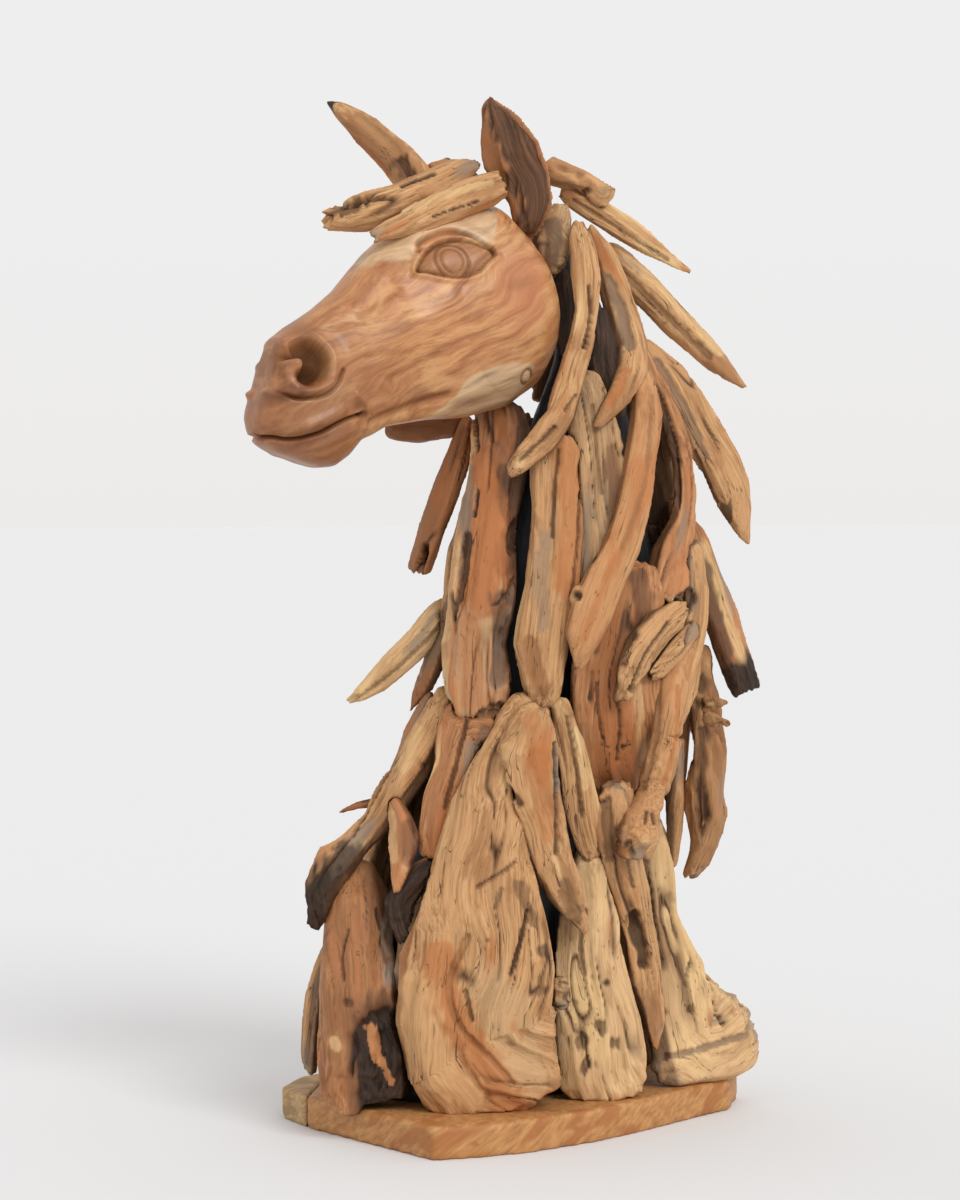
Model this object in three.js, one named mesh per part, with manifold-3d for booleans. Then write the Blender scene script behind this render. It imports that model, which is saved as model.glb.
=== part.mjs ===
// Driftwood horse head on a board, built from found teak root: a carved head, a black painted core
// and the sticks and slabs fixed round it. Millimetres, +Z up, the horse looks along -Y, and the
// origin is the middle of the board's underside.
import * as THREE from "three";
import { mergeVertices } from "three/addons/utils/BufferGeometryUtils.js";
import Module from "manifold-3d";

const wasm = await Module();
wasm.setup();

// Driving sizes
const boardThickness = 30;
const seat = 0.3; // gap between two pieces that touch
const sliver = 0.1; // faces thinner than this are merged after cutting
const turn = THREE.MathUtils.degToRad(60); // from the layout frame, x along the show side, to the row's
const standing = boardThickness + seat; // where the lowest pieces stand
const headRoot = [-19, -82, 770]; // the middle of the cheeks, in the layout frame
const headTilt = THREE.MathUtils.degToRad(20); // how far the face points down
const headSides = 18;
const headRings = 14;
const headMiddle = 0.46; // how far up a section of the head its widest line runs
const squareness = 0.78; // of a stick's section: 1 is an ellipse, less is nearer a box
const ringCrowding = 0.6; // how much a stick's rings crowd to its ends
const endDome = 0.12; // how far a stick's end bulges, as a share of its width
const coreInset = 20; // how far the core lies inside the trunk
const coreSides = 12;
const coreRings = 7;

const group = new THREE.Group();
const layout = new THREE.Group();
layout.rotation.z = turn;
group.add(layout);

// ---------------------------------------------------------------- finishes

function finish(colour, roughness = 0.8, metalness = 0) {
  return new THREE.MeshStandardMaterial({ color: colour, roughness, metalness });
}

const carvedTeak = finish("#b0703c", 0.35);
const tanWood = finish("#b98a58");
const orangeWood = finish("#b8733a");
const greyWood = finish("#a38a6c");
const paleWood = finish("#c9a26a");
const charredWood = finish("#3a2a20");
const blackPaint = finish("#161412", 0.6);
const boardWood = finish("#b98650", 0.6);
const boardGrey = finish("#a58e70", 0.7);

// ---------------------------------------------------------------- the trunk that the pieces lie on

// Sections of the trunk, upwards: height, middle, and half its length and width. The long way of
// each ellipse runs from the horse's chest to its back.
const trunk = [
  { z: 0, x: 8, y: -5, long: 168, wide: 85 },
  { z: 200, x: -3, y: -8, long: 153, wide: 82 },
  { z: 300, x: 15, y: -15, long: 120, wide: 76 },
  { z: 400, x: 55, y: -22, long: 116, wide: 70 },
  { z: 500, x: 63, y: -28, long: 114, wide: 66 },
  { z: 600, x: 62, y: -30, long: 94, wide: 58 },
  { z: 700, x: 75, y: -30, long: 62, wide: 42 },
  { z: 790, x: 62, y: -35, long: 37, wide: 28 },
  { z: 880, x: 55, y: -35, long: 20, wide: 16 },
];
const trunkAngle = THREE.MathUtils.degToRad(30);

function trunkAt(z) {
  const top = trunk.findIndex((row) => row.z >= z);
  if (top === 0) return trunk[0];
  if (top < 0) return trunk[trunk.length - 1];
  const [low, high] = [trunk[top - 1], trunk[top]];
  const mix = (z - low.z) / (high.z - low.z);
  const row = {};
  for (const key of Object.keys(low)) row[key] = THREE.MathUtils.lerp(low[key], high[key], mix);
  return row;
}

// The point of the trunk's surface at x and z, on the show side (-1) or the far side (1), with the
// way its surface looks.
function onTrunk(x, z, side) {
  const row = trunkAt(z);
  const [c, s] = [Math.cos(trunkAngle), Math.sin(trunkAngle)];
  const [ll, ww] = [row.long ** 2, row.wide ** 2];
  const reach = Math.sqrt(ll * c * c + ww * s * s);
  const dx = THREE.MathUtils.clamp(x - row.x, -reach, reach);
  const a = (s * s) / ll + (c * c) / ww;
  const b = 2 * dx * c * s * (1 / ll - 1 / ww);
  const rest = dx * dx * ((c * c) / ll + (s * s) / ww) - 1;
  const dy = (-b + side * Math.sqrt(Math.max(0, b * b - 4 * a * rest))) / (2 * a);
  const along = (dx * c + dy * s) / ll;
  const across = (dx * s - dy * c) / ww;
  const out = new THREE.Vector3(along * c + across * s, along * s - across * c, 0).normalize();
  return { y: row.y + dy, out };
}

// ---------------------------------------------------------------- solids

function toSolid(geometry) {
  const plain = geometry.clone();
  plain.deleteAttribute("normal");
  plain.deleteAttribute("uv");
  const merged = mergeVertices(plain, 1e-4);
  return new wasm.Manifold(
    new wasm.Mesh({
      numProp: 3,
      vertProperties: new Float32Array(merged.attributes.position.array),
      triVerts: new Uint32Array(merged.index.array),
    }),
  );
}

function toGeometry(solid) {
  const mesh = solid.getMesh();
  const geometry = new THREE.BufferGeometry();
  geometry.setAttribute("position", new THREE.BufferAttribute(mesh.vertProperties, 3));
  geometry.setIndex(new THREE.BufferAttribute(mesh.triVerts, 1));
  geometry.computeVertexNormals();
  return geometry;
}

function boxesMeet(one, other) {
  const [a, b] = [one.boundingBox(), other.boundingBox()];
  return [0, 1, 2].every((k) => a.min[k] < b.max[k] && b.min[k] < a.max[k]);
}

function largest(solid) {
  return solid.decompose().reduce((best, next) => (next.volume() > best.volume() ? next : best));
}

// Every piece is cut by the pieces laid before it, so the ones that lie on top come first.
const laid = [];

function lay(name, shape, material) {
  let solid = toSolid(shape(0));
  for (const over of laid) {
    if (boxesMeet(solid, over)) solid = solid.subtract(over);
  }
  solid = largest(solid).simplify(sliver);
  laid.push(toSolid(shape(seat)));
  const mesh = new THREE.Mesh(toGeometry(solid), material);
  mesh.name = name;
  layout.add(mesh);
}

// ---------------------------------------------------------------- sticks

function chance(...keys) {
  const mixed = keys.reduce((sum, key, k) => sum + key * (12.9898 + 65.233 * k), 1.37);
  const value = Math.sin(mixed) * 43758.5453;
  return value - Math.floor(value);
}

// A worn stick or slab. path holds [x, z, off]: off is how far its middle stands off the trunk; with
// y: [...] the depths are given instead. wide and flat are its full sizes at those points, flat as a
// share of wide or as a length. ends say how blunt the first and last ring are.
function stick(options) {
  const { path, wide, flat = 0.72, y, side = -1, face = 0.5, twist = 0 } = options;
  const { sides = 6, rings = 6, ends = [0.75, 0.75], rough = 0.1, seed = path[0][0] } = options;
  const outs = [];
  const points = path.map(([x, z, off = 0], k) => {
    const { y: depth, out } = onTrunk(x, z, side);
    outs.push(out);
    return new THREE.Vector3(x, y ? y[k] : depth + side * off, z);
  });
  const curve = new THREE.CatmullRomCurve3(points, false, "centripetal");
  const looks = outs.map((out) => {
    const whole = Math.atan2(out.x, side * out.y) * face;
    return new THREE.Vector3(Math.sin(whole), side * Math.cos(whole), 0);
  });
  const at = (list, u) => {
    const place = u * (path.length - 1);
    const low = Math.min(Math.floor(place), path.length - 2);
    return list[low] + (list[low + 1] - list[low]) * (place - low);
  };
  return (grow) => {
    const geometry = new THREE.CylinderGeometry(1, 1, 1, sides, rings);
    const spots = geometry.attributes.position;
    const spot = new THREE.Vector3();
    for (let k = 0; k < spots.count; k += 1) {
      spot.fromBufferAttribute(spots, k);
      const even = spot.y + 0.5;
      const u = THREE.MathUtils.lerp(even, 0.5 - 0.5 * Math.cos(Math.PI * even), ringCrowding);
      const centre = curve.getPoint(u);
      const along = curve.getTangent(u);
      const place = u * (path.length - 1);
      const low = Math.min(Math.floor(place), path.length - 2);
      const look = looks[low].clone().lerp(looks[low + 1], place - low);
      look.applyAxisAngle(along, twist * (u - 0.5));
      look.addScaledVector(along, -look.dot(along)).normalize();
      const across = along.clone().cross(look);
      const width = at(wide, u);
      const thick = flat > 1 ? Math.min(flat, width) : width * flat;
      const ring = Math.round(even * rings);
      const isEnd = ring === 0 ? ends[0] : ring === rings ? ends[1] : 1;
      const radius = Math.hypot(spot.x, spot.z);
      const corner = Math.round((Math.atan2(spot.z, spot.x) / (2 * Math.PI)) * sides + sides) % sides;
      const lump = 1 + rough * (2 * chance(seed, ring, corner) - 1);
      const scale = isEnd * lump;
      const boxy = (v) => Math.sign(v) * Math.abs(v) ** squareness;
      spot.copy(centre);
      if (radius > 0.5) {
        const angle = Math.atan2(geometry.attributes.position.getZ(k), geometry.attributes.position.getX(k));
        spot.addScaledVector(across, boxy(Math.cos(angle)) * ((width / 2) * scale + grow));
        spot.addScaledVector(look, boxy(Math.sin(angle)) * ((thick / 2) * scale + grow));
        if (ring === 0) spot.addScaledVector(along, -grow);
        if (ring === rings) spot.addScaledVector(along, grow);
      } else {
        const dome = endDome * width * isEnd + grow;
        spot.addScaledVector(along, ring === 0 ? -dome : dome);
      }
      spots.setXYZ(k, spot.x, spot.y, spot.z);
    }
    return geometry;
  };
}

// ---------------------------------------------------------------- board

const boardOutline = [
  [-192, -59], [-70, -209], [-20, -192], [22, -170], [82, -122], [134, -64], [180, -8], [214, 30],
  [227, 95], [150, 180], [40, 205], [-90, 170], [-150, 120], [-176, 75],
];
const boardReach = 240; // from the middle of the board to its furthest corner
const endBlockOutline = [[-219, -5], [-192, -59], [-176, 75], [-204, 50]];

function slab(outline, shift) {
  return (grow) => {
    const shape = new THREE.Shape(outline.map(([x, y]) => new THREE.Vector2(x + shift, y)));
    const geometry = new THREE.ExtrudeGeometry(shape, { depth: boardThickness, bevelEnabled: false });
    const scale = 1 + grow / boardReach;
    geometry.translate(0, 0, -boardThickness / 2);
    geometry.scale(scale, scale, 1 + (2 * grow) / boardThickness);
    geometry.translate(0, 0, boardThickness / 2);
    return geometry;
  };
}

lay("base_board", slab(boardOutline, 0.4), boardWood);
lay("base_board_end_block", slab(endBlockOutline, 0), boardGrey);

// ---------------------------------------------------------------- head

// Sections of the head along its face, from the back of the cheeks to the lips: place, brow side,
// jaw side and half width.
const headSections = [
  { p: -52, top: 40, low: -14, half: 34 },
  { p: -46, top: 66, low: -42, half: 48 },
  { p: -33, top: 90, low: -62, half: 57 },
  { p: -12, top: 102, low: -80, half: 61 },
  { p: 21, top: 106, low: -88, half: 63 },
  { p: 63, top: 105, low: -83, half: 61 },
  { p: 104, top: 91, low: -73, half: 55 },
  { p: 148, top: 68, low: -67, half: 44 },
  { p: 178, top: 58, low: -74, half: 39 },
  { p: 207, top: 53, low: -79, half: 42 },
  { p: 228, top: 44, low: -72, half: 41 },
  { p: 240, top: 26, low: -60, half: 36 },
  { p: 250, top: 9, low: -49, half: 30 },
  { p: 261, top: -6, low: -38, half: 22 },
  { p: 267, top: -16, low: -30, half: 13 },
];

function headAt(p) {
  const last = headSections.length - 2;
  let k = headSections.findIndex((row) => row.p > p) - 1;
  if (k < 0) k = p <= headSections[0].p ? 0 : last;
  const [low, high] = [headSections[k], headSections[k + 1]];
  const mix = THREE.MathUtils.clamp((p - low.p) / (high.p - low.p), 0, 1);
  const row = {};
  for (const key of Object.keys(low)) row[key] = THREE.MathUtils.lerp(low[key], high[key], mix);
  return row;
}

// From the head's own frame, p towards the lips, q up from the face and w to its left, to the layout.
function headPoint(p, w, q) {
  const forward = p * Math.cos(headTilt) + q * Math.sin(headTilt);
  const up = -p * Math.sin(headTilt) + q * Math.cos(headTilt);
  const point = new THREE.Vector3(w, -forward, up);
  point.applyAxisAngle(new THREE.Vector3(0, 0, 1), -turn);
  return point.add(new THREE.Vector3(...headRoot));
}

function mapSpots(geometry, place) {
  const spots = geometry.attributes.position;
  const spot = new THREE.Vector3();
  for (let k = 0; k < spots.count; k += 1) {
    place(spot.fromBufferAttribute(spots, k));
    spots.setXYZ(k, spot.x, spot.y, spot.z);
  }
  return geometry;
}

function headHull(grow) {
  const [first, last] = [headSections[0].p, headSections[headSections.length - 1].p];
  return mapSpots(new THREE.CylinderGeometry(1, 1, 1, headSides, headRings), (spot) => {
    const even = spot.y + 0.5;
    const eased = THREE.MathUtils.lerp(even, 0.5 - 0.5 * Math.cos(Math.PI * even), 0.7);
    const p = THREE.MathUtils.lerp(first, last, eased);
    const { top, low, half } = headAt(p);
    const middle = THREE.MathUtils.lerp(low, top, headMiddle);
    const radius = Math.hypot(spot.x, spot.z);
    const angle = Math.atan2(-spot.z, spot.x);
    const [c, s] = [Math.cos(angle), Math.sin(angle)];
    const narrow = 1 - (s > 0 ? 0.24 : 0.16) * s * s;
    const w = Math.sign(c) * Math.abs(c) ** 0.75 * half * narrow;
    const q = Math.sign(s) * Math.abs(s) ** 0.9 * (s > 0 ? top - middle : middle - low);
    const ends = even < 1e-6 ? -grow : even > 1 - 1e-6 ? grow : 0;
    if (radius < 0.5) spot.copy(headPoint(p + ends, 0, middle));
    else spot.copy(headPoint(p + ends, w + Math.sign(c) * grow * Math.abs(c), middle + q + s * grow));
  });
}

function ball(p, w, q, radii, segments = 10) {
  return mapSpots(new THREE.SphereGeometry(1, segments, segments / 2), (spot) => {
    spot.copy(headPoint(p + spot.x * radii[0], w + spot.y * radii[1], q + spot.z * radii[2]));
  });
}

const eye = { p: 47, q: 61, half: 20 };
const nostril = { p: 207, q: 16, half: 19 };

// The parting of the lips: a groove that follows the muzzle round.
function lips() {
  const line = [[176, -41], [198, -47], [222, -46], [242, -40], [284, -24]];
  const shape = new THREE.Shape();
  shape.moveTo(...line[0]);
  shape.splineThru(line.slice(1).map(([p, q]) => new THREE.Vector2(p, q + 1.5)));
  shape.lineTo(284, -27);
  shape.splineThru(line.slice(0, 4).reverse().map(([p, q]) => new THREE.Vector2(p, q - 1.5)));
  const groove = new THREE.ExtrudeGeometry(shape, { depth: 120, bevelEnabled: false, curveSegments: 3 });
  mapSpots(groove, (spot) => spot.copy(headPoint(spot.x, 60 - spot.z, spot.y)));
  return toSolid(groove).subtract(toSolid(ball(206, 0, -42, [52, 33, 40])));
}

function head(grow) {
  const hull = headHull(grow);
  if (grow > 0) return hull;
  let solid = toSolid(hull);
  for (const side of [-1, 1]) {
    const eyeDepth = headAt(eye.p).half - 9;
    solid = solid.add(toSolid(ball(eye.p, side * eyeDepth, eye.q, [eye.half, 11, 13])));
    const nose = ball(nostril.p, side * (headAt(nostril.p).half - 2), nostril.q, [nostril.half, 17, 15]);
    solid = solid.subtract(toSolid(nose));
  }
  return toGeometry(largest(solid.subtract(lips())));
}

lay("carved_head", head, carvedTeak);

lay("left_ear", stick({
  path: [[19, 840], [17, 880], [3, 914], [-12, 945], [-19, 968]], y: [-96, -98, -98, -94, -90],
  wide: [18, 52, 64, 36, 6], flat: 20, ends: [0.7, 0.5], rings: 8, face: 0.2,
}), orangeWood);
lay("left_ear_wedge", stick({
  path: [[46, 866], [42, 834], [39, 806]], y: [-78, -82, -84], wide: [20, 30, 20], flat: 0.9,
}), greyWood);
lay("right_ear", stick({
  path: [[-68, 836], [-87, 882], [-107, 914], [-138, 942], [-172, 969]], y: [-94, -84, -70, -54, -38],
  wide: [24, 35, 42, 32, 6], flat: 20, ends: [0.8, 0.4],
}), orangeWood);

// ---------------------------------------------------------------- forelock

lay("forelock_near", stick({
  path: [[-8, 883], [-46, 869], [-83, 850], [-124, 832]], y: [-112, -128, -146, -166],
  wide: [32, 35, 29, 16], flat: 0.7, rough: 0.1,
}), tanWood);
lay("forelock_far", stick({
  path: [[-32, 906], [-79, 880], [-125, 860], [-167, 849]], y: [-84, -106, -128, -146],
  wide: [26, 30, 31, 24], flat: 0.8, rough: 0.14, ends: [0.7, 0.8],
}), tanWood);
lay("forelock_knob", stick({
  path: [[-76, 902], [-58, 901], [-42, 886], [-30, 852]], y: [-76, -74, -76, -80],
  wide: [14, 24, 32, 34], flat: 0.9,
}), charredWood);

// ---------------------------------------------------------------- mane, the show side

lay("mane_from_ear_curved", stick({
  path: [[62, 851, 45], [68, 814, 45], [71, 778, 45], [65, 741, 45], [54, 704, 45], [42, 662, 45],
    [18, 638, 45], [0, 619, 45]],
  wide: [17, 24, 25, 25, 25, 26, 24, 12], flat: 0.85, rings: 11, ends: [0.6, 0.7],
}), greyWood);
lay("mane_behind_ear_hooked", stick({
  path: [[73, 850, 34], [92, 809, 34], [105, 767, 34], [114, 734, 34], [108, 700, 34], [80, 660, 34]],
  wide: [12, 25, 28, 28, 26, 8], flat: 0.8, rings: 9,
}), orangeWood);
lay("mane_long_smooth", stick({
  path: [[124, 712, 45], [127, 668, 45], [120, 626, 45], [112, 586, 45], [101, 548, 45],
    [83, 511, 45], [69, 475, 45], [63, 440, 45]],
  wide: [18, 33, 34, 34, 35, 42, 38, 12], flat: 0.8, rings: 11, rough: 0.04,
}), tanWood);
lay("mane_split_finger", stick({
  path: [[162, 492, 48], [134, 471, 48], [116, 446, 48], [103, 414, 48]],
  wide: [20, 34, 32, 12], flat: 0.8, rough: 0.1,
}), greyWood);
lay("mane_split_finger_short", stick({
  path: [[175, 474, 46], [155, 454, 46], [131, 430, 46]], wide: [18, 26, 20], flat: 0.8,
}), tanWood);
lay("mane_long_with_knob", stick({
  path: [[173, 551, 42], [175, 499, 42], [167, 447, 42], [153, 402, 42], [142, 358, 42],
    [131, 313, 42], [121, 258, 42]],
  wide: [24, 33, 38, 37, 29, 26, 42], flat: 0.8, rings: 10, ends: [0.6, 0.75],
}), orangeWood);
lay("mane_forked_flare", stick({
  path: [[123, 740, 30], [139, 702, 30], [156, 660, 30], [165, 617, 30], [166, 580, 30],
    [151, 542, 30], [147, 502, 30]],
  wide: [12, 17, 21, 23, 27, 36, 44], flat: 0.6, rings: 9, ends: [0.6, 0.8],
}), greyWood);

// ---------------------------------------------------------------- chest and shoulder, the show side

lay("shoulder_burl_strand", stick({
  path: [[22, 402, 44], [19, 361, 44], [23, 319, 44], [31, 279, 44], [44, 245, 44], [70, 192, 44]],
  wide: [36, 56, 48, 41, 36, 10], flat: 0.65, rings: 9, rough: 0.12,
}), tanWood);
lay("shoulder_pointed_strand", stick({
  path: [[99, 327, 38], [95, 287, 38], [105, 246, 38], [117, 200, 38], [126, 156, 38],
    [134, 117, 38], [139, 69, 38]],
  wide: [40, 48, 48, 44, 40, 30, 12], flat: 0.7, rings: 9, ends: [0.8, 0.6],
}), tanWood);
lay("chest_large_slab", stick({
  path: [[11, 413, 22], [-3, 364, 22], [-20, 308, 24], [-27, 262, 26], [-26, 216, 26], [-28, 170, 26],
    [-32, 119, 24], [-24, 73, 20], [-6, standing + 2, 16]],
  wide: [24, 48, 76, 90, 116, 143, 147, 138, 124], flat: 46, face: 0.2, rings: 10, sides: 10,
  ends: [0.6, 0.92], rough: 0.05,
}), orangeWood);
lay("shoulder_thin_strand", stick({
  path: [[45, 408, 28], [55, 373, 28], [62, 335, 28], [67, 296, 28], [76, 262, 28]],
  wide: [20, 34, 38, 36, 22], flat: 0.6,
}), tanWood);
lay("shoulder_lower_slab", stick({
  path: [[70, 272, 16], [73, 228, 16], [73, 190, 16], [75, 152, 16], [82, 109, 16], [87, 66, 16],
    [91, standing + 1, 16]],
  wide: [24, 46, 62, 66, 80, 88, 78], flat: 34, rings: 8, sides: 8, ends: [0.7, 0.9],
}), paleWood);
lay("shoulder_stub", stick({
  path: [[45, 152, 42], [47, 137, 42], [49, 120, 38]], wide: [16, 21, 17], flat: 0.9, rings: 5,
}), greyWood);
lay("chest_orange_flap", stick({
  path: [[-109, 312, 30], [-98, 280, 34], [-105, 232, 30]], wide: [17, 27, 9], flat: 0.6, rings: 6,
}), orangeWood);
lay("chest_long_diagonal", stick({
  path: [[-59, 411, 20], [-79, 369, 22], [-105, 325, 22], [-127, 292, 22], [-150, 265, 22],
    [-173, 239, 22], [-180, 193, 22]],
  wide: [18, 37, 34, 28, 38, 40, 14], flat: 0.75, rings: 10,
}), orangeWood);
lay("chest_twig", stick({
  path: [[-115, 309, 6], [-138, 305, 4], [-161, 298, 2]], wide: [16, 13, 7], flat: 0.8, rings: 5,
}), charredWood);
lay("chest_thin_edge", stick({
  path: [[-74, 413, 6], [-94, 373, 6], [-118, 319, 6]], wide: [9, 12, 8], flat: 16, rings: 6,
}), tanWood);
lay("chest_trunk_burnt", stick({
  path: [[-138, 250, 14], [-138, 214, 14], [-139, 178, 16], [-137, 138, 18], [-137, 104, 18],
    [-133, 73, 16], [-126, standing + 1, 12]],
  wide: [24, 62, 66, 72, 86, 94, 80], flat: 60, face: 0.4, rings: 8, sides: 10, ends: [0.7, 0.9],
}), orangeWood);

// ---------------------------------------------------------------- neck, the show side

lay("neck_plank", stick({
  path: [[44, 650, 20], [42, 614, 20], [43, 574, 20], [39, 524, 20], [29, 464, 20], [30, 402, 20]],
  wide: [42, 46, 49, 55, 52, 26], flat: 30, rings: 8,
}), orangeWood);
lay("neck_front_slab", stick({
  path: [[-10, 678, 14], [-14, 614, 14], [-21, 574, 14], [-25, 524, 14], [-33, 464, 14], [-27, 396, 14]],
  wide: [60, 62, 61, 67, 62, 58], flat: 34, rings: 8, sides: 8, rough: 0.09, ends: [0.8, 0.85],
}), orangeWood);
lay("neck_front_lower_strand", stick({
  path: [[-34, 404, 12], [-45, 367, 12], [-58, 325, 12], [-72, 262, 10]],
  wide: [56, 52, 48, 36], flat: 0.6, rough: 0.12,
}), tanWood);
lay("mane_grey_slab", stick({
  path: [[71, 708, 14], [76, 659, 14], [83, 612, 14], [85, 560, 14], [70, 480, 14]],
  wide: [34, 46, 50, 52, 46], flat: 26,
}), greyWood);
lay("shoulder_back_flare", stick({
  path: [[134, 284, 8], [137, 225, 8], [144, 175, 10], [155, 140, 16], [164, 112, 22], [180, 84, 28],
    [190, 58, 30], [190, 37, 30]],
  wide: [32, 48, 50, 60, 78, 116, 130, 122], flat: 38, face: 0.35, rings: 10, sides: 9,
  ends: [0.6, 0.92], rough: 0.06,
}), paleWood);
lay("neck_red_slab", stick({
  path: [[110, 532, 12], [104, 463, 12], [99, 408, 12], [105, 322, 10]],
  wide: [76, 96, 98, 76], flat: 30,
}), orangeWood);
lay("mane_short_finger", stick({
  path: [[146, 700, 14], [149, 665, 14], [151, 634, 14]], wide: [10, 12, 9], flat: 0.9, rings: 4,
}), tanWood);
lay("mane_dark_strand", stick({
  path: [[84, 770, 12], [90, 720, 12], [92, 670, 12]], wide: [24, 34, 36], flat: 0.7, rings: 5,
}), charredWood);
lay("mane_dark_sliver", stick({
  path: [[48, 812, 4], [54, 776, 4], [56, 732, 4]], wide: [16, 24, 26], flat: 0.8, rings: 4,
}), charredWood);

// ---------------------------------------------------------------- mane, standing off behind

lay("mane_back_1", stick({
  path: [[32, 903, 0], [65, 895, 0], [90, 878, 0]], y: [-56, -42, -32], wide: [20, 23, 26], flat: 0.8,
  rings: 6, ends: [0.6, 0.85], rough: 0.12,
}), tanWood);
lay("mane_back_2", stick({
  path: [[48, 884], [105, 852], [173, 810]], y: [-42, -28, -14], wide: [22, 29, 10], flat: 0.6,
}), orangeWood);
lay("mane_back_3", stick({
  path: [[90, 831], [139, 786], [182, 742], [225, 702]], y: [-20, -14, -6, 4], wide: [26, 33, 27, 9],
  flat: 0.65,
}), orangeWood);
lay("mane_back_4", stick({
  path: [[129, 744], [158, 703], [182, 661], [204, 622], [219, 589], [231, 549]],
  y: [-20, -14, -8, -2, 4, 10], wide: [20, 37, 44, 45, 36, 9], flat: 0.55, rings: 9,
}), greyWood);
lay("mane_back_5", stick({
  path: [[166, 580], [183, 536], [198, 493], [213, 454], [229, 410]], y: [-2, 4, 10, 14, 18],
  wide: [28, 35, 37, 37, 31], flat: 0.6, ends: [0.6, 0.85],
}), orangeWood);
lay("mane_back_6", stick({
  path: [[187, 448], [186, 401], [192, 357], [190, 313], [194, 269], [178, 232]],
  y: [14, 16, 18, 20, 24, 28], wide: [20, 37, 41, 45, 41, 14], flat: 0.65, rings: 9, rough: 0.14,
}), tanWood);
lay("mane_back_7", stick({
  path: [[162, 362, 10], [161, 305, 10], [158, 238, 10]], wide: [17, 19, 8], flat: 0.7,
}), orangeWood);

// ---------------------------------------------------------------- throat and chest, the front edge

lay("throat_two_pronged", stick({
  path: [[-38, 672], [-54, 622], [-70, 575], [-85, 528]], y: [-44, -48, -52, -58],
  wide: [17, 27, 29, 28], flat: 0.7, ends: [0.6, 0.8],
}), orangeWood);
lay("throat_pointed", stick({
  path: [[-50, 518, 0], [-66, 462, 0], [-80, 424, 0], [-94, 396, 0]], wide: [18, 25, 22, 6],
}), tanWood);
lay("throat_pale_branch", stick({
  path: [[-52, 494], [-88, 458], [-120, 428], [-150, 406]], y: [-56, -62, -68, -74],
  wide: [24, 27, 25, 10], flat: 0.75,
}), paleWood);
lay("jaw_stub", stick({
  path: [[-114, 659], [-84, 659], [-45, 668]], y: [-62, -46, -28], wide: [20, 25, 26], flat: 0.9,
  rings: 6, ends: [0.75, 0.7],
}), tanWood);
lay("chest_thin_plank", stick({
  path: [[-160, 190], [-180, 140], [-188, 98], [-190, 50]], y: [-38, -36, -34, -32],
  wide: [14, 22, 24, 19], flat: 0.7,
}), tanWood);
lay("chest_dark_strand", stick({
  path: [[-74, 262, 8], [-100, 219, 10], [-93, 180, 8]], wide: [20, 25, 15], flat: 0.8, rings: 6,
}), charredWood);
lay("chest_grey_filler", stick({
  path: [[-84, 236, 2], [-91, 196, 4], [-98, 144, 4]], wide: [20, 27, 26], flat: 0.8, rings: 6,
}), greyWood);

// ---------------------------------------------------------------- the far side

lay("far_mane_top", stick({
  path: [[24, 880, 16], [44, 820, 20], [50, 752, 20], [38, 690, 18]], side: 1, wide: [32, 58, 66, 52],
  flat: 0.5,
}), tanWood);
lay("far_mane_long", stick({
  path: [[98, 780, 20], [118, 700, 20], [130, 615, 20], [140, 540, 20]], side: 1,
  wide: [34, 64, 74, 52], flat: 0.45,
}), greyWood);
lay("far_neck_slab", stick({
  path: [[62, 720, 14], [64, 630, 14], [58, 540, 14], [66, 440, 14]], side: 1, wide: [58, 88, 94, 84],
  flat: 28,
}), orangeWood);
lay("far_throat_slab", stick({
  path: [[6, 670, 10], [-8, 580, 12], [-20, 500, 12], [-16, 400, 12]], side: 1, wide: [66, 96, 104, 92],
  flat: 28,
}), tanWood);
lay("far_back_strand", stick({
  path: [[134, 570, 12], [134, 480, 12], [132, 400, 12], [124, 300, 12]], side: 1,
  wide: [54, 80, 86, 76], flat: 28,
}), tanWood);
lay("far_ridge_strand", stick({
  path: [[160, 590], [166, 500], [166, 400], [160, 300]], y: [26, 34, 42, 48], face: 1,
  wide: [40, 64, 70, 60], flat: 26,
}), orangeWood);
lay("far_shoulder_slab", stick({
  path: [[88, 440, 14], [86, 340, 14], [84, 220, 14], [94, standing + 1, 10]], side: 1,
  wide: [64, 104, 128, 130], flat: 34, sides: 8, ends: [0.6, 0.9],
}), paleWood);
lay("far_chest_slab", stick({
  path: [[22, 430, 14], [4, 340, 14], [-20, 230, 14], [-24, standing + 1, 10]], side: 1,
  wide: [60, 100, 112, 108], flat: 36, sides: 8, ends: [0.6, 0.9],
}), orangeWood);
lay("far_chest_front_strand", stick({
  path: [[-50, 420, 10], [-80, 310, 12], [-116, 200, 12], [-132, standing + 1, 8]], side: 1,
  wide: [64, 92, 108, 104], flat: 32, ends: [0.6, 0.9], face: 0.7,
}), tanWood);

// ---------------------------------------------------------------- core

lay("painted_core", (grow) => {
  const [low, high] = [standing, 840];
  return mapSpots(new THREE.CylinderGeometry(1, 1, 1, coreSides, coreRings), (spot) => {
    const z = THREE.MathUtils.lerp(low, high, spot.y + 0.5);
    const row = trunkAt(z);
    const [c, s] = [Math.cos(trunkAngle), Math.sin(trunkAngle)];
    const along = spot.x * (row.long - coreInset + grow);
    const across = spot.z * (row.wide - coreInset + grow);
    spot.set(row.x + along * c + across * s, row.y + along * s - across * c, z);
  });
}, blackPaint);

export default group;
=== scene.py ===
import math

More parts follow.
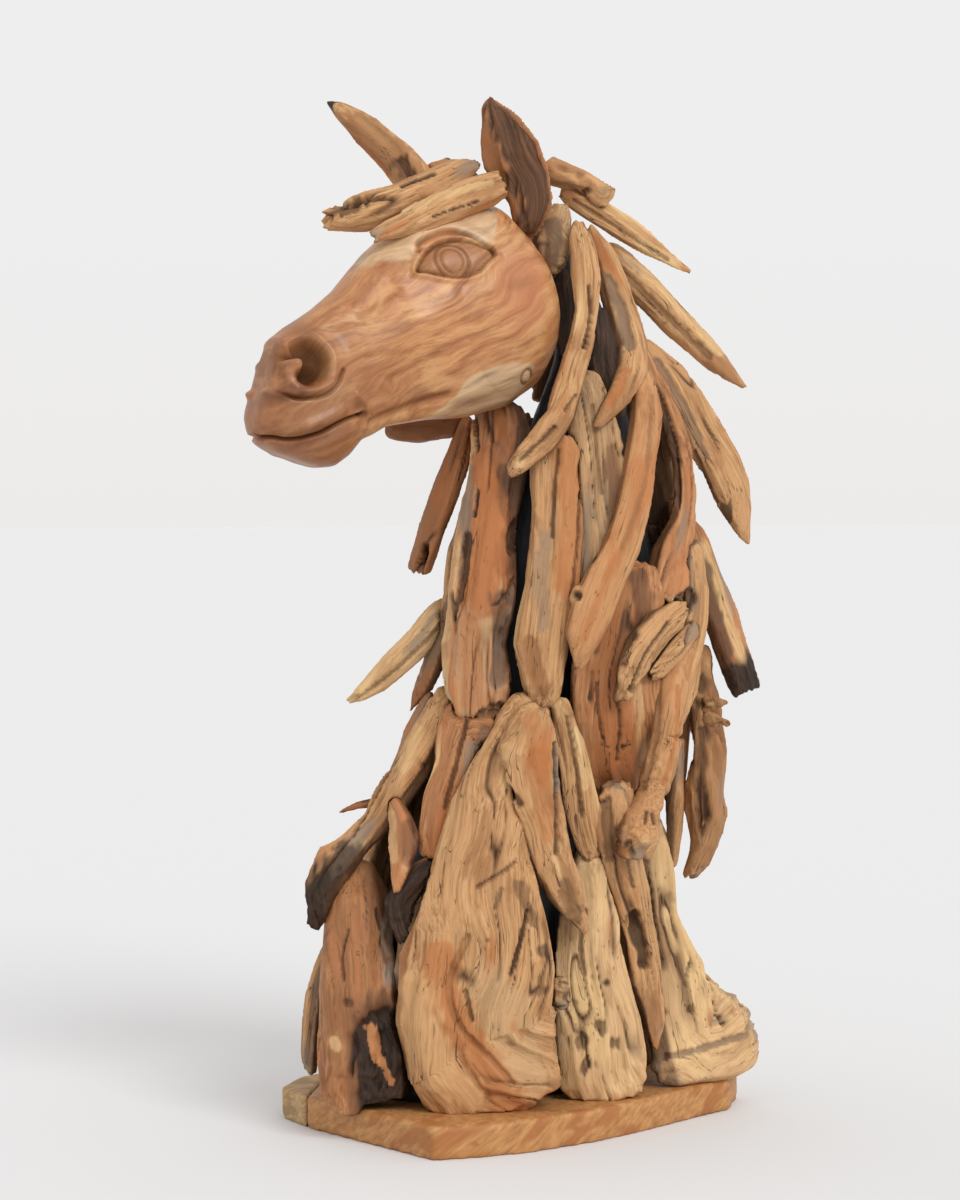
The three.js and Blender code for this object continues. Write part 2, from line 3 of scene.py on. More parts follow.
import bpy
import numpy as np
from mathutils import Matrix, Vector


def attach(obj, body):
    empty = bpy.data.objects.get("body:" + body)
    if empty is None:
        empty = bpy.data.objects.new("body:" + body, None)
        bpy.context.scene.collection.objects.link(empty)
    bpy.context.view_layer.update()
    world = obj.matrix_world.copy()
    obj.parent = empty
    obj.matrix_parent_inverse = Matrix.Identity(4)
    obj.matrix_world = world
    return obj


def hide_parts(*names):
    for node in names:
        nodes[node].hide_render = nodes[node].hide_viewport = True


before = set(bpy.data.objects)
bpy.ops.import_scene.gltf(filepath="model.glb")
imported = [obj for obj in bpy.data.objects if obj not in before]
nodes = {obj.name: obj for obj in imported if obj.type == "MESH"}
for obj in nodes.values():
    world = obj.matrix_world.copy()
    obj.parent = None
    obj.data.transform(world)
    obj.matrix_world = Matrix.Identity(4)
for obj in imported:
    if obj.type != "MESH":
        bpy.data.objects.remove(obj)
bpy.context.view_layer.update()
mm = 0.001

# The sculpture is seen from its show side, turned 60 degrees: "across" runs along that side towards
# the horse's back, "away" runs from the viewer. Marks on the wood are placed by across and height.
turn = math.radians(60)
across = np.array([math.cos(turn), math.sin(turn), 0.0])
away = np.array([-math.sin(turn), math.cos(turn), 0.0])
up = np.array([0.0, 0.0, 1.0])

viewpoint = {"distance": 3.060, "height": 0.594, "aside": -0.028, "pitchDown": 1.8, "lens": 95.73}


def placeCamera():
    data = bpy.data.cameras.new("camera")
    data.lens = viewpoint["lens"]
    data.sensor_width = 36
    piece = bpy.data.objects.new("camera", data)
    piece.location = (across * viewpoint["aside"] - away * viewpoint["distance"]
                      + up * viewpoint["height"])
    piece.rotation_euler = (math.radians(90 - viewpoint["pitchDown"]), 0, turn)
    bpy.context.scene.collection.objects.link(piece)
    bpy.context.scene.camera = piece


placeCamera()
print("camera placed")

def lattice(i, j, k, seed):
    mixed = i * 374761393 + j * 668265263 + k * 1442695041 + seed * 1274126177
    mixed = (mixed ^ (mixed >> 13)) * 1103515245
    mixed = mixed ^ (mixed >> 16)
    return (mixed & 65535) / 32767.5 - 1


# Smooth lumps from -1 to 1, about one to each unit of the three coordinates.
def lumps(x, y, z, seed):
    cells = [np.floor(v).astype(np.int64) for v in (x, y, z)]
    parts = [v - cell for v, cell in zip((x, y, z), cells)]
    eased = [t * t * (3 - 2 * t) for t in parts]
    total = np.zeros(len(x))
    for corner in range(8):
        steps = [corner & 1, corner >> 1 & 1, corner >> 2 & 1]
        weight = np.ones(len(x))
        for t, step in zip(eased, steps):
            weight = weight * (t if step else 1 - t)
        total += weight * lattice(*[cell + step for cell, step in zip(cells, steps)], seed)
    return total


def ramp(value, low, high):
    t = np.clip((value - low) / (high - low), 0, 1)
    return t * t * (3 - 2 * t)


# A soft stroke: 1 on the line, 0 at its half width.
def stroke(distance, wide):
    return ramp(distance, wide, 0)


def curveThrough(points, steps=6, closed=False):
    if len(points) < 3:
        return [tuple(p) for p in points]
    pts = [np.array(p, float) for p in points]
    if closed:
        pts = [pts[-1]] + pts + [pts[0], pts[1]]
    else:
        pts = [2 * pts[0] - pts[1]] + pts + [2 * pts[-1] - pts[-2]]
    line = []
    for a, b, c, d in zip(pts, pts[1:], pts[2:], pts[3:]):
        for step in range(steps):
            t = step / steps
            line.append(0.5 * (2 * b + (c - a) * t + (2 * a - 5 * b + 4 * c - d) * t * t
                               + (3 * b - a - 3 * c + d) * t ** 3))
    line.append(pts[-2])
    return line


def distanceTo(x, y, path, closed=False):
    line = curveThrough(path, closed=closed)
    if len(line) == 1:
        return np.hypot(x - line[0][0], y - line[0][1])
    best = np.full(len(x), 1e9)
    for (x0, y0), (x1, y1) in zip(line, line[1:]):
        dx, dy = x1 - x0, y1 - y0
        t = np.clip(((x - x0) * dx + (y - y0) * dy) / (dx * dx + dy * dy + 1e-9), 0, 1)
        best = np.minimum(best, np.hypot(x - x0 - t * dx, y - y0 - t * dy))
    return best


# Distance to a closed outline, positive inside it.
def insideOf(x, y, outline):
    line = curveThrough(outline, closed=True)
    inside = np.zeros(len(x), bool)
    for (x0, y0), (x1, y1) in zip(line, line[1:]):
        if y0 == y1:
            continue
        crosses = (y0 > y) != (y1 > y)
        inside ^= crosses & (x < (x1 - x0) * (y - y0) / (y1 - y0) + x0)
    gap = distanceTo(x, y, outline, closed=True)
    return np.where(inside, gap, -gap)


def pointsOf(mesh):
    co = np.empty(len(mesh.vertices) * 3)
    mesh.vertices.foreach_get("co", co)
    return co.reshape(-1, 3) / mm


def normalsOf(mesh):
    out = np.empty(len(mesh.vertices) * 3)
    mesh.vertex_normals.foreach_get("vector", out)
    return out.reshape(-1, 3)


def setPoints(mesh, co):
    mesh.vertices.foreach_set("co", (co * mm).ravel())
    mesh.update()


# Rounds a mesh off without shrinking it: each step in is followed by one slightly larger step out.
def relax(mesh, steps):
    co = pointsOf(mesh)
    edges = np.empty(len(mesh.edges) * 2, np.int32)
    mesh.edges.foreach_get("vertices", edges)
    one, two = edges.reshape(-1, 2).T
    count = np.bincount(edges, minlength=len(co))[:, None]
    for step in range(2 * steps):
        total = np.empty_like(co)
        for axis in range(3):
            total[:, axis] = (np.bincount(one, co[two, axis], len(co))
                              + np.bincount(two, co[one, axis], len(co)))
        co = co + (0.6 if step % 2 == 0 else -0.615) * (total / count - co)
    return co


# A tapering stub from one (across, away, height) point to another.
def addStub(mesh, start, end, thick, thin):
    sides = 10
    ends = [across * x + away * y + up * z for x, y, z in (start, end)]
    way = (ends[1] - ends[0]) / np.linalg.norm(ends[1] - ends[0])
    other = np.cross(way, away)
    rings = [(0.0, thick), (0.5, (thick + thin) / 2), (0.92, thin), (1.0, thin * 0.6)]
    first = len(mesh.vertices)
    spots = []
    for share, radius in rings:
        for k in range(sides):
            angle = 2 * math.pi * k / sides
            rim = (other * math.cos(angle) + away * math.sin(angle)) * radius
            spots.append((ends[0] * (1 - share) + ends[1] * share + rim) * mm)
    faces = [list(range(sides))[::-1], [sides * (len(rings) - 1) + k for k in range(sides)]]
    for ring in range(len(rings) - 1):
        for k in range(sides):
            after = (k + 1) % sides
            low, high = ring * sides, (ring + 1) * sides
            faces.append([low + k, low + after, high + after, high + k])
    mesh.vertices.add(len(spots))
    for k, spot in enumerate(spots):
        mesh.vertices[first + k].co = spot
    old = [list(face.vertices) for face in mesh.polygons]
    spots = [tuple(vertex.co) for vertex in mesh.vertices]
    mesh.clear_geometry()
    mesh.from_pydata(spots, [], old + [[first + k for k in face] for face in faces])
    mesh.update()


# An even, closed quad mesh over a CAD solid, rounded as worn wood is and kept at its own size.
def wornCopy(name, node, voxel, rounding, swell=0.0, stubs=()):
    piece = bpy.data.objects.new(name, nodes[node].data.copy())
    piece.data.materials.clear()
    for start, end, thick, thin in stubs:
        addStub(piece.data, start, end, thick, thin)
    bpy.context.scene.collection.objects.link(piece)
    remesh = piece.modifiers.new("even", "REMESH")
    remesh.mode = "VOXEL"
    remesh.voxel_size = voxel * mm
    fresh = bpy.data.meshes.new_from_object(piece.evaluated_get(bpy.context.evaluated_depsgraph_get()))
    piece.modifiers.clear()
    piece.data = fresh
    fresh.name = name
    setPoints(fresh, relax(fresh, rounding))
    setPoints(fresh, pointsOf(fresh) + normalsOf(fresh) * swell)
    return piece


# The line down a stick's middle, and where each point lies by it: along the grain and two ways across.
def grainOf(co, knots=12):
    middle = co.mean(0)
    way = np.linalg.svd(co[::5] - middle, full_matrices=False)[2][0]
    if way[2] < 0:
        way = -way
    t = (co - middle) @ way
    t = (t - t.min()) / (t.max() - t.min())
    for step in range(6):
        part = np.clip((t * knots).astype(int), 0, knots - 1)
        count = np.bincount(part, minlength=knots)
        line = np.stack([np.bincount(part, co[:, k], knots) / np.maximum(count, 1) for k in range(3)], 1)
        line = line[count > 0]
        for smooth in range(2):
            line[1:-1] = (line[:-2] + 2 * line[1:-1] + line[2:]) / 4
        place, along = nearestOn(co, line)
        t = (along - along.min()) / (along.max() - along.min())
    steps = np.diff(line, axis=0)
    tangents = steps / np.linalg.norm(steps, axis=1)[:, None]
    side = np.cross(tangents[0], away)
    side /= np.linalg.norm(side)
    sides = []
    for tangent in tangents:
        side = side - tangent * (side @ tangent)
        side /= np.linalg.norm(side)
        sides.append(side)
    sides = np.array(sides)
    knot = np.clip(place.astype(int), 0, len(steps) - 1)
    share = np.clip(place - knot, 0, 1)[:, None]
    after = np.clip(knot + 1, 0, len(steps) - 1)
    blendSide = sides[knot] * (1 - share / 2) + sides[after] * share / 2
    blendWay = tangents[knot] * (1 - share / 2) + tangents[after] * share / 2
    blendWay /= np.linalg.norm(blendWay, axis=1)[:, None]
    off = co - (line[knot] + steps[knot] * (place - knot)[:, None])
    return along, (off * blendSide).sum(1), (off * np.cross(blendWay, blendSide)).sum(1), blendWay


def nearestOn(co, line):
    steps = np.diff(line, axis=0)
    lengths = np.linalg.norm(steps, axis=1)
    starts = np.concatenate([[0], np.cumsum(lengths)])
    best = np.full(len(co), 1e18)
    place = np.zeros(len(co))
    along = np.zeros(len(co))
    for k, (start, step, length) in enumerate(zip(line, steps, lengths)):
        t = (co - start) @ step / length ** 2
        held = np.clip(t, -9 if k == 0 else 0, 9 if k == len(steps) - 1 else 1)
        gap = ((co - start - step * held[:, None]) ** 2).sum(1)
        closer = gap < best
        best[closer] = gap[closer]
        place[closer] = (k + held)[closer]
        along[closer] = (starts[k] + held * length)[closer]
    return place, along


tintNames = ["hollow", "red", "pale", "grey", "burn"]


def setAttributes(mesh, grain, tints):
    field = mesh.attributes.new("grain", "FLOAT_VECTOR", "POINT")
    field.data.foreach_set("vector", np.ascontiguousarray(grain, np.float32).ravel())
    for name in tintNames:
        field = mesh.attributes.new(name, "FLOAT", "POINT")
        field.data.foreach_set("value", np.clip(tints[name], 0, 1).astype(np.float32))


def finishPiece(piece, material, slot, *replaced):
    piece.data.materials.clear()
    piece.data.materials.append(material)
    piece.data.polygons.foreach_set("use_smooth", [True] * len(piece.data.polygons))
    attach(piece, "root")
    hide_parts(*replaced)


def linear(code):
    parts = [int(code[k:k + 2], 16) / 255 for k in (1, 3, 5)]
    return [c / 12.92 if c <= 0.04045 else ((c + 0.055) / 1.055) ** 2.4 for c in parts] + [1.0]


# Adds a node: its settings by name, its inputs as values or as sockets to link, its colour stops.
def addNode(tree, kind, inputs=None, stops=None, **settings):
    node = tree.nodes.new(kind)
    for name, value in settings.items():
        setattr(node, name, value)
    for key, value in (inputs or {}).items():
        if isinstance(value, bpy.types.NodeSocket):
            tree.links.new(value, node.inputs[key])
        else:
            node.inputs[key].default_value = value
    if stops:
        elements = node.color_ramp.elements
        while len(elements) < len(stops):
            elements.new(1.0)
        for element, (place, code) in zip(elements, stops):
            element.position = place
            element.color = linear(code)
    return node


def newMaterial(name):
    material = bpy.data.materials.new(name)
    material.use_nodes = True
    material.node_tree.nodes.clear()
    return material, material.node_tree


# Noise drawn out along the grain, length and width in millimetres.
def grainNoise(tree, length, width, detail, roughness=0.55):
    grain = addNode(tree, "ShaderNodeAttribute", attribute_name="grain")
    scaled = addNode(tree, "ShaderNodeVectorMath", {0: grain.outputs["Vector"],
                     1: (1 / length, 1 / width, 1 / width)}, operation="MULTIPLY")
    noise = addNode(tree, "ShaderNodeTexNoise", {"Vector": scaled.outputs[0], "Scale": 1.0,
                    "Detail": detail, "Roughness": roughness})
    return noise.outputs["Fac"]


# Mixes a colour in where a noise runs above its threshold.
def mixWhere(tree, colour, noise, low, high, most, code):
    share = addNode(tree, "ShaderNodeMapRange", {"Value": noise, "From Min": low, "From Max": high,
                    "To Max": most}, interpolation_type="SMOOTHSTEP")
    return addNode(tree, "ShaderNodeMixRGB", {"Fac": share.outputs["Result"], "Color1": colour,
                   "Color2": linear(code)}).outputs["Color"]


# Length and width of each pattern in millimetres, then its detail and roughness. Teak fibres are about
# 0.3 mm wide and would not show, so they are drawn three times as coarse.
driftwoodGrain = {"band": (130, 15, 3.0), "cloud": (75, 24, 4.0, 0.6), "fibre": (16, 0.9, 3.0, 0.6),
                  "split": (85, 6.5, 2.0, 0.4), "spots": (9, 2.6, 2.0), "patches": (48, 21, 2.0)}


# Weathered teak root: washed, sun-bleached and wire-brushed, with no finish on it. It is dry and matt,
# streaked along the grain in bands of two or three tones, flecked, and split by fine dark cracks.
def driftwood(name, wood):
    material, tree = newMaterial(name)
    streak = grainNoise(tree, wood["streakLength"], wood["streakWidth"], 4.0, 0.65)
    band, cloud, fibre, split, spots, patches = [
        grainNoise(tree, *pattern) for pattern in driftwoodGrain.values()]
    colour = addNode(tree, "ShaderNodeValToRGB", {"Fac": streak}, wood["stops"]).outputs["Color"]
    colour = mixWhere(tree, colour, band, 0.48, 0.58, wood["blotch"], wood["second"])
    colour = mixWhere(tree, colour, cloud, 0.53, 0.64, wood["cloud"], wood["third"])
    # stains held by the mesh, broken up along the streaks; the dark brown one is painted shade in
    # hollows, cracks and grooves and between the sticks, mixed with dark stains and dirt
    tints = [("pale", "#e0bb86", 1.3), ("grey", "#8d7c6b", 1.3), ("red", "#b4703f", 1.3),
             ("burn", "#110d0b", 0.4), ("hollow", "#4a2f1c", 1.3)]
    for attribute, code, uneven in tints:
        tint = addNode(tree, "ShaderNodeAttribute", attribute_name=attribute)
        broken = addNode(tree, "ShaderNodeMath", {0: streak, 1: uneven, 2: 0.93 - uneven / 2},
                         operation="MULTIPLY_ADD")
        share = addNode(tree, "ShaderNodeMath", {0: tint.outputs["Fac"], 1: broken.outputs[0]},
                        operation="MULTIPLY", use_clamp=True)
        colour = addNode(tree, "ShaderNodeMixRGB", {"Fac": share.outputs[0], "Color1": colour,
                         "Color2": linear(code)}).outputs["Color"]
    patch = addNode(tree, "ShaderNodeMapRange", {"Value": patches, "From Min": 0.5, "From Max": 0.62})
    fleck = addNode(tree, "ShaderNodeMapRange", {"Value": spots, "From Min": 0.63, "From Max": 0.7,
                    "To Max": wood["flecks"]}, interpolation_type="SMOOTHSTEP")
    fleck = addNode(tree, "ShaderNodeMath", {0: fleck.outputs["Result"], 1: patch.outputs["Result"]},
                    operation="MULTIPLY")
    middle = addNode(tree, "ShaderNodeMath", {0: split, 1: 0.5}, operation="SUBTRACT")
    middle = addNode(tree, "ShaderNodeMath", {0: middle.outputs[0]}, operation="ABSOLUTE")
    crack = addNode(tree, "ShaderNodeMapRange", {"Value": middle.outputs[0], "From Min": 0.014,
                    "From Max": 0.004, "To Max": wood["cracks"]}, interpolation_type="SMOOTHSTEP")
    dry = addNode(tree, "ShaderNodeMapRange", {"Value": cloud, "From Min": 0.5, "From Max": 0.4})
    crack = addNode(tree, "ShaderNodeMath", {0: crack.outputs["Result"], 1: dry.outputs["Result"]},
                    operation="MULTIPLY")
    dark = addNode(tree, "ShaderNodeMath", {0: fleck.outputs[0], 1: crack.outputs[0]},
                   operation="MAXIMUM")
    colour = addNode(tree, "ShaderNodeMixRGB", {"Fac": dark.outputs[0], "Color1": colour,
                     "Color2": linear("#4a311f")}).outputs["Color"]
    height = addNode(tree, "ShaderNodeMath", {0: streak, 1: 0.6, 2: fibre}, operation="MULTIPLY_ADD")
    height = addNode(tree, "ShaderNodeMath", {0: dark.outputs[0], 1: -1.3, 2: height.outputs[0]},
                     operation="MULTIPLY_ADD")
    bump = addNode(tree, "ShaderNodeBump", {"Height": height.outputs[0], "Strength": wood["bump"],
                   "Distance": 0.0014})
    shine = addNode(tree, "ShaderNodeMapRange", {"Value": streak, "To Min": wood["roughness"] - 0.1,
                    "To Max": wood["roughness"] + 0.08})
    shader = addNode(tree, "ShaderNodeBsdfPrincipled", {"Base Color": colour,
                     "Roughness": shine.outputs["Result"], "Normal": bump.outputs["Normal"]})
    shader.inputs["IOR"].default_value = 1.5
    shader.inputs["Specular IOR Level"].default_value = wood["sheen"]
    addNode(tree, "ShaderNodeOutputMaterial", {"Surface": shader.outputs[0]})
    return material


woods = {
    "tan_driftwood": {"stops": [(0.26, "#84592f"), (0.48, "#bc8d5f"), (0.74, "#d8ad7c")],
                      "second": "#cb9a6b", "blotch": 0.6, "third": "#96663f", "cloud": 0.6,
                      "flecks": 0.5, "cracks": 0.8, "streakLength": 80, "streakWidth": 2.6,
                      "bump": 0.5, "roughness": 0.74, "sheen": 0.3},
    "orange_driftwood": {"stops": [(0.26, "#744626"), (0.48, "#b0784b"), (0.74, "#cc986a")],
                         "second": "#bd7c4e", "blotch": 0.7, "third": "#93623c", "cloud": 0.5,
                         "flecks": 0.5, "cracks": 0.8, "streakLength": 90, "streakWidth": 3.0,
                         "bump": 0.42, "roughness": 0.64, "sheen": 0.35},
    "grey_driftwood": {"stops": [(0.26, "#6b503a"), (0.48, "#b08b64"), (0.74, "#d0aa7f")],
                       "second": "#bf966b", "blotch": 0.6, "third": "#85705c", "cloud": 0.65,
                       "flecks": 0.5, "cracks": 0.85, "streakLength": 80, "streakWidth": 2.4,
                       "bump": 0.6, "roughness": 0.78, "sheen": 0.25},
    "pale_driftwood": {"stops": [(0.24, "#93704a"), (0.48, "#cea575"), (0.74, "#e6c596")],
                       "second": "#dbb283", "blotch": 0.55, "third": "#a67d52", "cloud": 0.55,
                       "flecks": 0.7, "cracks": 0.75, "streakLength": 70, "streakWidth": 2.6,
                       "bump": 0.5, "roughness": 0.75, "sheen": 0.3},
    "charred_wood": {"stops": [(0.3, "#17110e"), (0.5, "#352419"), (0.78, "#6b4b33")],
                     "second": "#4a3222", "blotch": 0.5, "third": "#241813", "cloud": 0.5,
                     "flecks": 0.5, "cracks": 0.9, "streakLength": 45, "streakWidth": 2.6,
                     "bump": 0.8, "roughness": 0.7, "sheen": 0.4},
}
materials = {name: driftwood(name.replace("_", " "), wood) for name, wood in woods.items()}

# The figure has, for each tone, its length and width in millimetres, detail and roughness, then where it
# starts and is full, how strong it is and its colour.
teak = {
    "stops": [(0.3, "#8c5630"), (0.48, "#b87c4d"), (0.66, "#d09a68")],
    "figure": [(80, 30, 4.0, 0.6, 0.48, 0.64, 0.32, "#96603c"),  # plum clouds
               (58, 19, 5.0, 0.65, 0.49, 0.62, 0.5, "#d0a26c"),  # tan clouds
               (42, 13, 5.0, 0.68, 0.53, 0.68, 0.5, "#8a5b38"),  # brown clouds
               (8, 1.5, 2.0, 0.55, 0.6, 0.72, 0.3, "#6d4528"),  # pores
               (120, 2.4, 2.0, 0.55, 0.6, 0.78, 0.35, "#7d4a28")],  # dark threads
    "sapwood": [(0.34, "#9d8263"), (0.5, "#c9a67f"), (0.68, "#dcbb92")],
    # colours of the mesh's tints; dark is mostly painted shade in the carved cuts
    "ruddy": "#b06c47", "brown": "#7c4c2e", "dark": "#3d2212",
    "coat": 0.24, "sheen": 0.35, "coatRoughness": 0.24, "roughness": 0.46,
}


# Carved teak: sanded with the grain and rubbed with a clear polish. The figure shows as long streaks
# and arcs, and the soft shine follows the planes of the carving.
def carvedTeak():
    material, tree = newMaterial("carved teak")
    streak = grainNoise(tree, 95, 7.5, 6.0, 0.62)
    fibre = grainNoise(tree, 14, 0.9, 3.0, 0.6)
    colour = addNode(tree, "ShaderNodeValToRGB", {"Fac": streak}, teak["stops"]).outputs["Color"]
    for length, width, detail, roughness, low, high, most, code in teak["figure"]:
        noise = grainNoise(tree, length, width, detail, roughness)
        colour = mixWhere(tree, colour, noise, low, high, most, code)
    sapwood = addNode(tree, "ShaderNodeValToRGB", {"Fac": streak}, teak["sapwood"]).outputs["Color"]
    # the mesh's tints; the darkest is painted shade in the cuts, grooves, eye and nostril, and darker
    # lines at the lips and nose
    tints = [("red", linear(teak["ruddy"])), ("pale", sapwood), ("grey", linear(teak["brown"])),
             ("hollow", linear(teak["dark"]))]
    for attribute, code in tints:
        tint = addNode(tree, "ShaderNodeAttribute", attribute_name=attribute)
        colour = addNode(tree, "ShaderNodeMixRGB", {"Fac": tint.outputs["Fac"], "Color1": colour,
                         "Color2": code}).outputs["Color"]
    height = addNode(tree, "ShaderNodeMath", {0: streak, 1: 0.7, 2: fibre}, operation="MULTIPLY_ADD")
    bump = addNode(tree, "ShaderNodeBump", {"Height": height.outputs[0], "Strength": 0.16,
                   "Distance": 0.001})
    shine = addNode(tree, "ShaderNodeMapRange", {"Value": streak, "To Min": teak["roughness"] - 0.08,
                    "To Max": teak["roughness"] + 0.1})
    shader = addNode(tree, "ShaderNodeBsdfPrincipled", {"Base Color": colour,
                     "Roughness": shine.outputs["Result"], "Normal": bump.outputs["Normal"]})
    sunk = addNode(tree, "ShaderNodeAttribute", attribute_name="hollow")
    for socket, most in (("Coat Weight", teak["coat"]), ("Specular IOR Level", teak["sheen"])):
        polish = addNode(tree, "ShaderNodeMapRange", {"Value": sunk.outputs["Fac"], "From Max": 0.6,
                         "To Min": most, "To Max": 0.02})
        tree.links.new(polish.outputs["Result"], shader.inputs[socket])
    shader.inputs["IOR"].default_value = 1.5
    shader.inputs["Coat Roughness"].default_value = teak["coatRoughness"]
    addNode(tree, "ShaderNodeOutputMaterial", {"Surface": shader.outputs[0]})
    return material


materials["carved_teak"] = carvedTeak()


# Matt black paint, brushed thinly over the rough core.
def blackPaint():
    material, tree = newMaterial("black paint on wood")
    streak = grainNoise(tree, 60, 4, 4.0)
    colour = addNode(tree, "ShaderNodeValToRGB", {"Fac": streak},
                     [(0.3, "#0b0a0b"), (0.55, "#17151a"), (0.8, "#2e2a2c")]).outputs["Color"]
    bump = addNode(tree, "ShaderNodeBump", {"Height": streak, "Strength": 0.5, "Distance": 0.002})
    shader = addNode(tree, "ShaderNodeBsdfPrincipled", {"Base Color": colour,
                     "Normal": bump.outputs["Normal"]})
    shader.inputs["Roughness"].default_value = 0.6
    addNode(tree, "ShaderNodeOutputMaterial", {"Surface": shader.outputs[0]})
    return material


materials["black_paint"] = blackPaint()

boards = {
    "board_wood": {"stops": [(0.2, "#8f5f30"), (0.5, "#b47e48"), (0.8, "#cc9c63")], "bands": "#a0602e",
                   "roughness": 0.6},
    "board_grey": {"stops": [(0.2, "#866a49"), (0.5, "#b69365"), (0.8, "#d2b387")], "bands": "#94784f",
                   "roughness": 0.75},
}


# Planed softwood board, sawn rings showing as slanting orange bands, thinly oiled.
def plankWood(name, wood):
    material, tree = newMaterial(name)
    streak = grainNoise(tree, 110, 3.5, 4.0, 0.6)
    bands = grainNoise(tree, 190, 15, 2.0, 0.4)
    fibre = grainNoise(tree, 20, 1.0, 2.0)
    colour = addNode(tree, "ShaderNodeValToRGB", {"Fac": streak}, wood["stops"]).outputs["Color"]
    colour = mixWhere(tree, colour, bands, 0.5, 0.62, 0.75, wood["bands"])
    for attribute, code in [("hollow", "#4a2f1c"), ("red", "#8a4a24")]:
        tint = addNode(tree, "ShaderNodeAttribute", attribute_name=attribute)
        colour = addNode(tree, "ShaderNodeMixRGB", {"Fac": tint.outputs["Fac"], "Color1": colour,
                         "Color2": linear(code)}).outputs["Color"]
    bump = addNode(tree, "ShaderNodeBump", {"Height": fibre, "Strength": 0.25, "Distance": 0.0008})
    shader = addNode(tree, "ShaderNodeBsdfPrincipled", {"Base Color": colour,
                     "Normal": bump.outputs["Normal"]})
    shader.inputs["Roughness"].default_value = wood["roughness"]
    addNode(tree, "ShaderNodeOutputMaterial", {"Surface": shader.outputs[0]})
    return material


for slot, wood in boards.items():
    materials[slot] = plankWood(slot.replace("_", " "), wood)
print("materials made")

# How worn each kind of wood is, in millimetres: broad dents, long planes that meet in an edge, flutes,
# fine ridges, cracks and pits, then how much of each tint it has.
wear = {
    "smooth": {"dents": 1.6, "planes": 4.0, "flutes": 0.6, "ridges": 0.2, "cracks": 1.5, "pits": 0.0,
               "fray": 2, "red": 0.15, "pale": 0.1, "grey": 0.1},
    "plain": {"dents": 2.2, "planes": 6.0, "flutes": 1.4, "ridges": 0.5, "cracks": 3.0, "pits": 0.8,
              "fray": 5, "red": 0.2, "pale": 0.1, "grey": 0.25},
    "grey": {"dents": 2.0, "planes": 6.0, "flutes": 1.8, "ridges": 0.7, "cracks": 3.4, "pits": 0.8,
             "fray": 6, "red": 0.1, "pale": 0.05, "grey": 0.5},
    "rotten": {"dents": 3.0, "planes": 7.0, "flutes": 2.6, "ridges": 1.3, "cracks": 4.5, "pits": 2.6,
               "fray": 10, "red": 0.2, "pale": 0.0, "grey": 0.3},
    "pale": {"dents": 2.4, "planes": 6.0, "flutes": 1.4, "ridges": 0.5, "cracks": 3.0, "pits": 1.8,
             "fray": 5, "red": 0.1, "pale": 0.45, "grey": 0.15},
    "orange": {"dents": 2.2, "planes": 6.0, "flutes": 1.2, "ridges": 0.5, "cracks": 2.6, "pits": 0.6,
               "fray": 4, "red": 0.5, "pale": 0.1, "grey": 0.15},
}


# The middle of the bundle of sticks, as (height, across) and (height, away) pairs. Sides of a stick
# that turn away from the outside are darker: painted shade between the sticks, and the dirt and old
# paint that stay there.
bundle = {"across": [(0, 8), (200, -3), (300, 15), (400, 55), (600, 62), (700, 75), (790, 62)],
          "away": [(0, -5), (200, -8), (300, -15), (400, -22), (600, -30), (700, -30), (790, -35)],
          "crevice": 0.8}


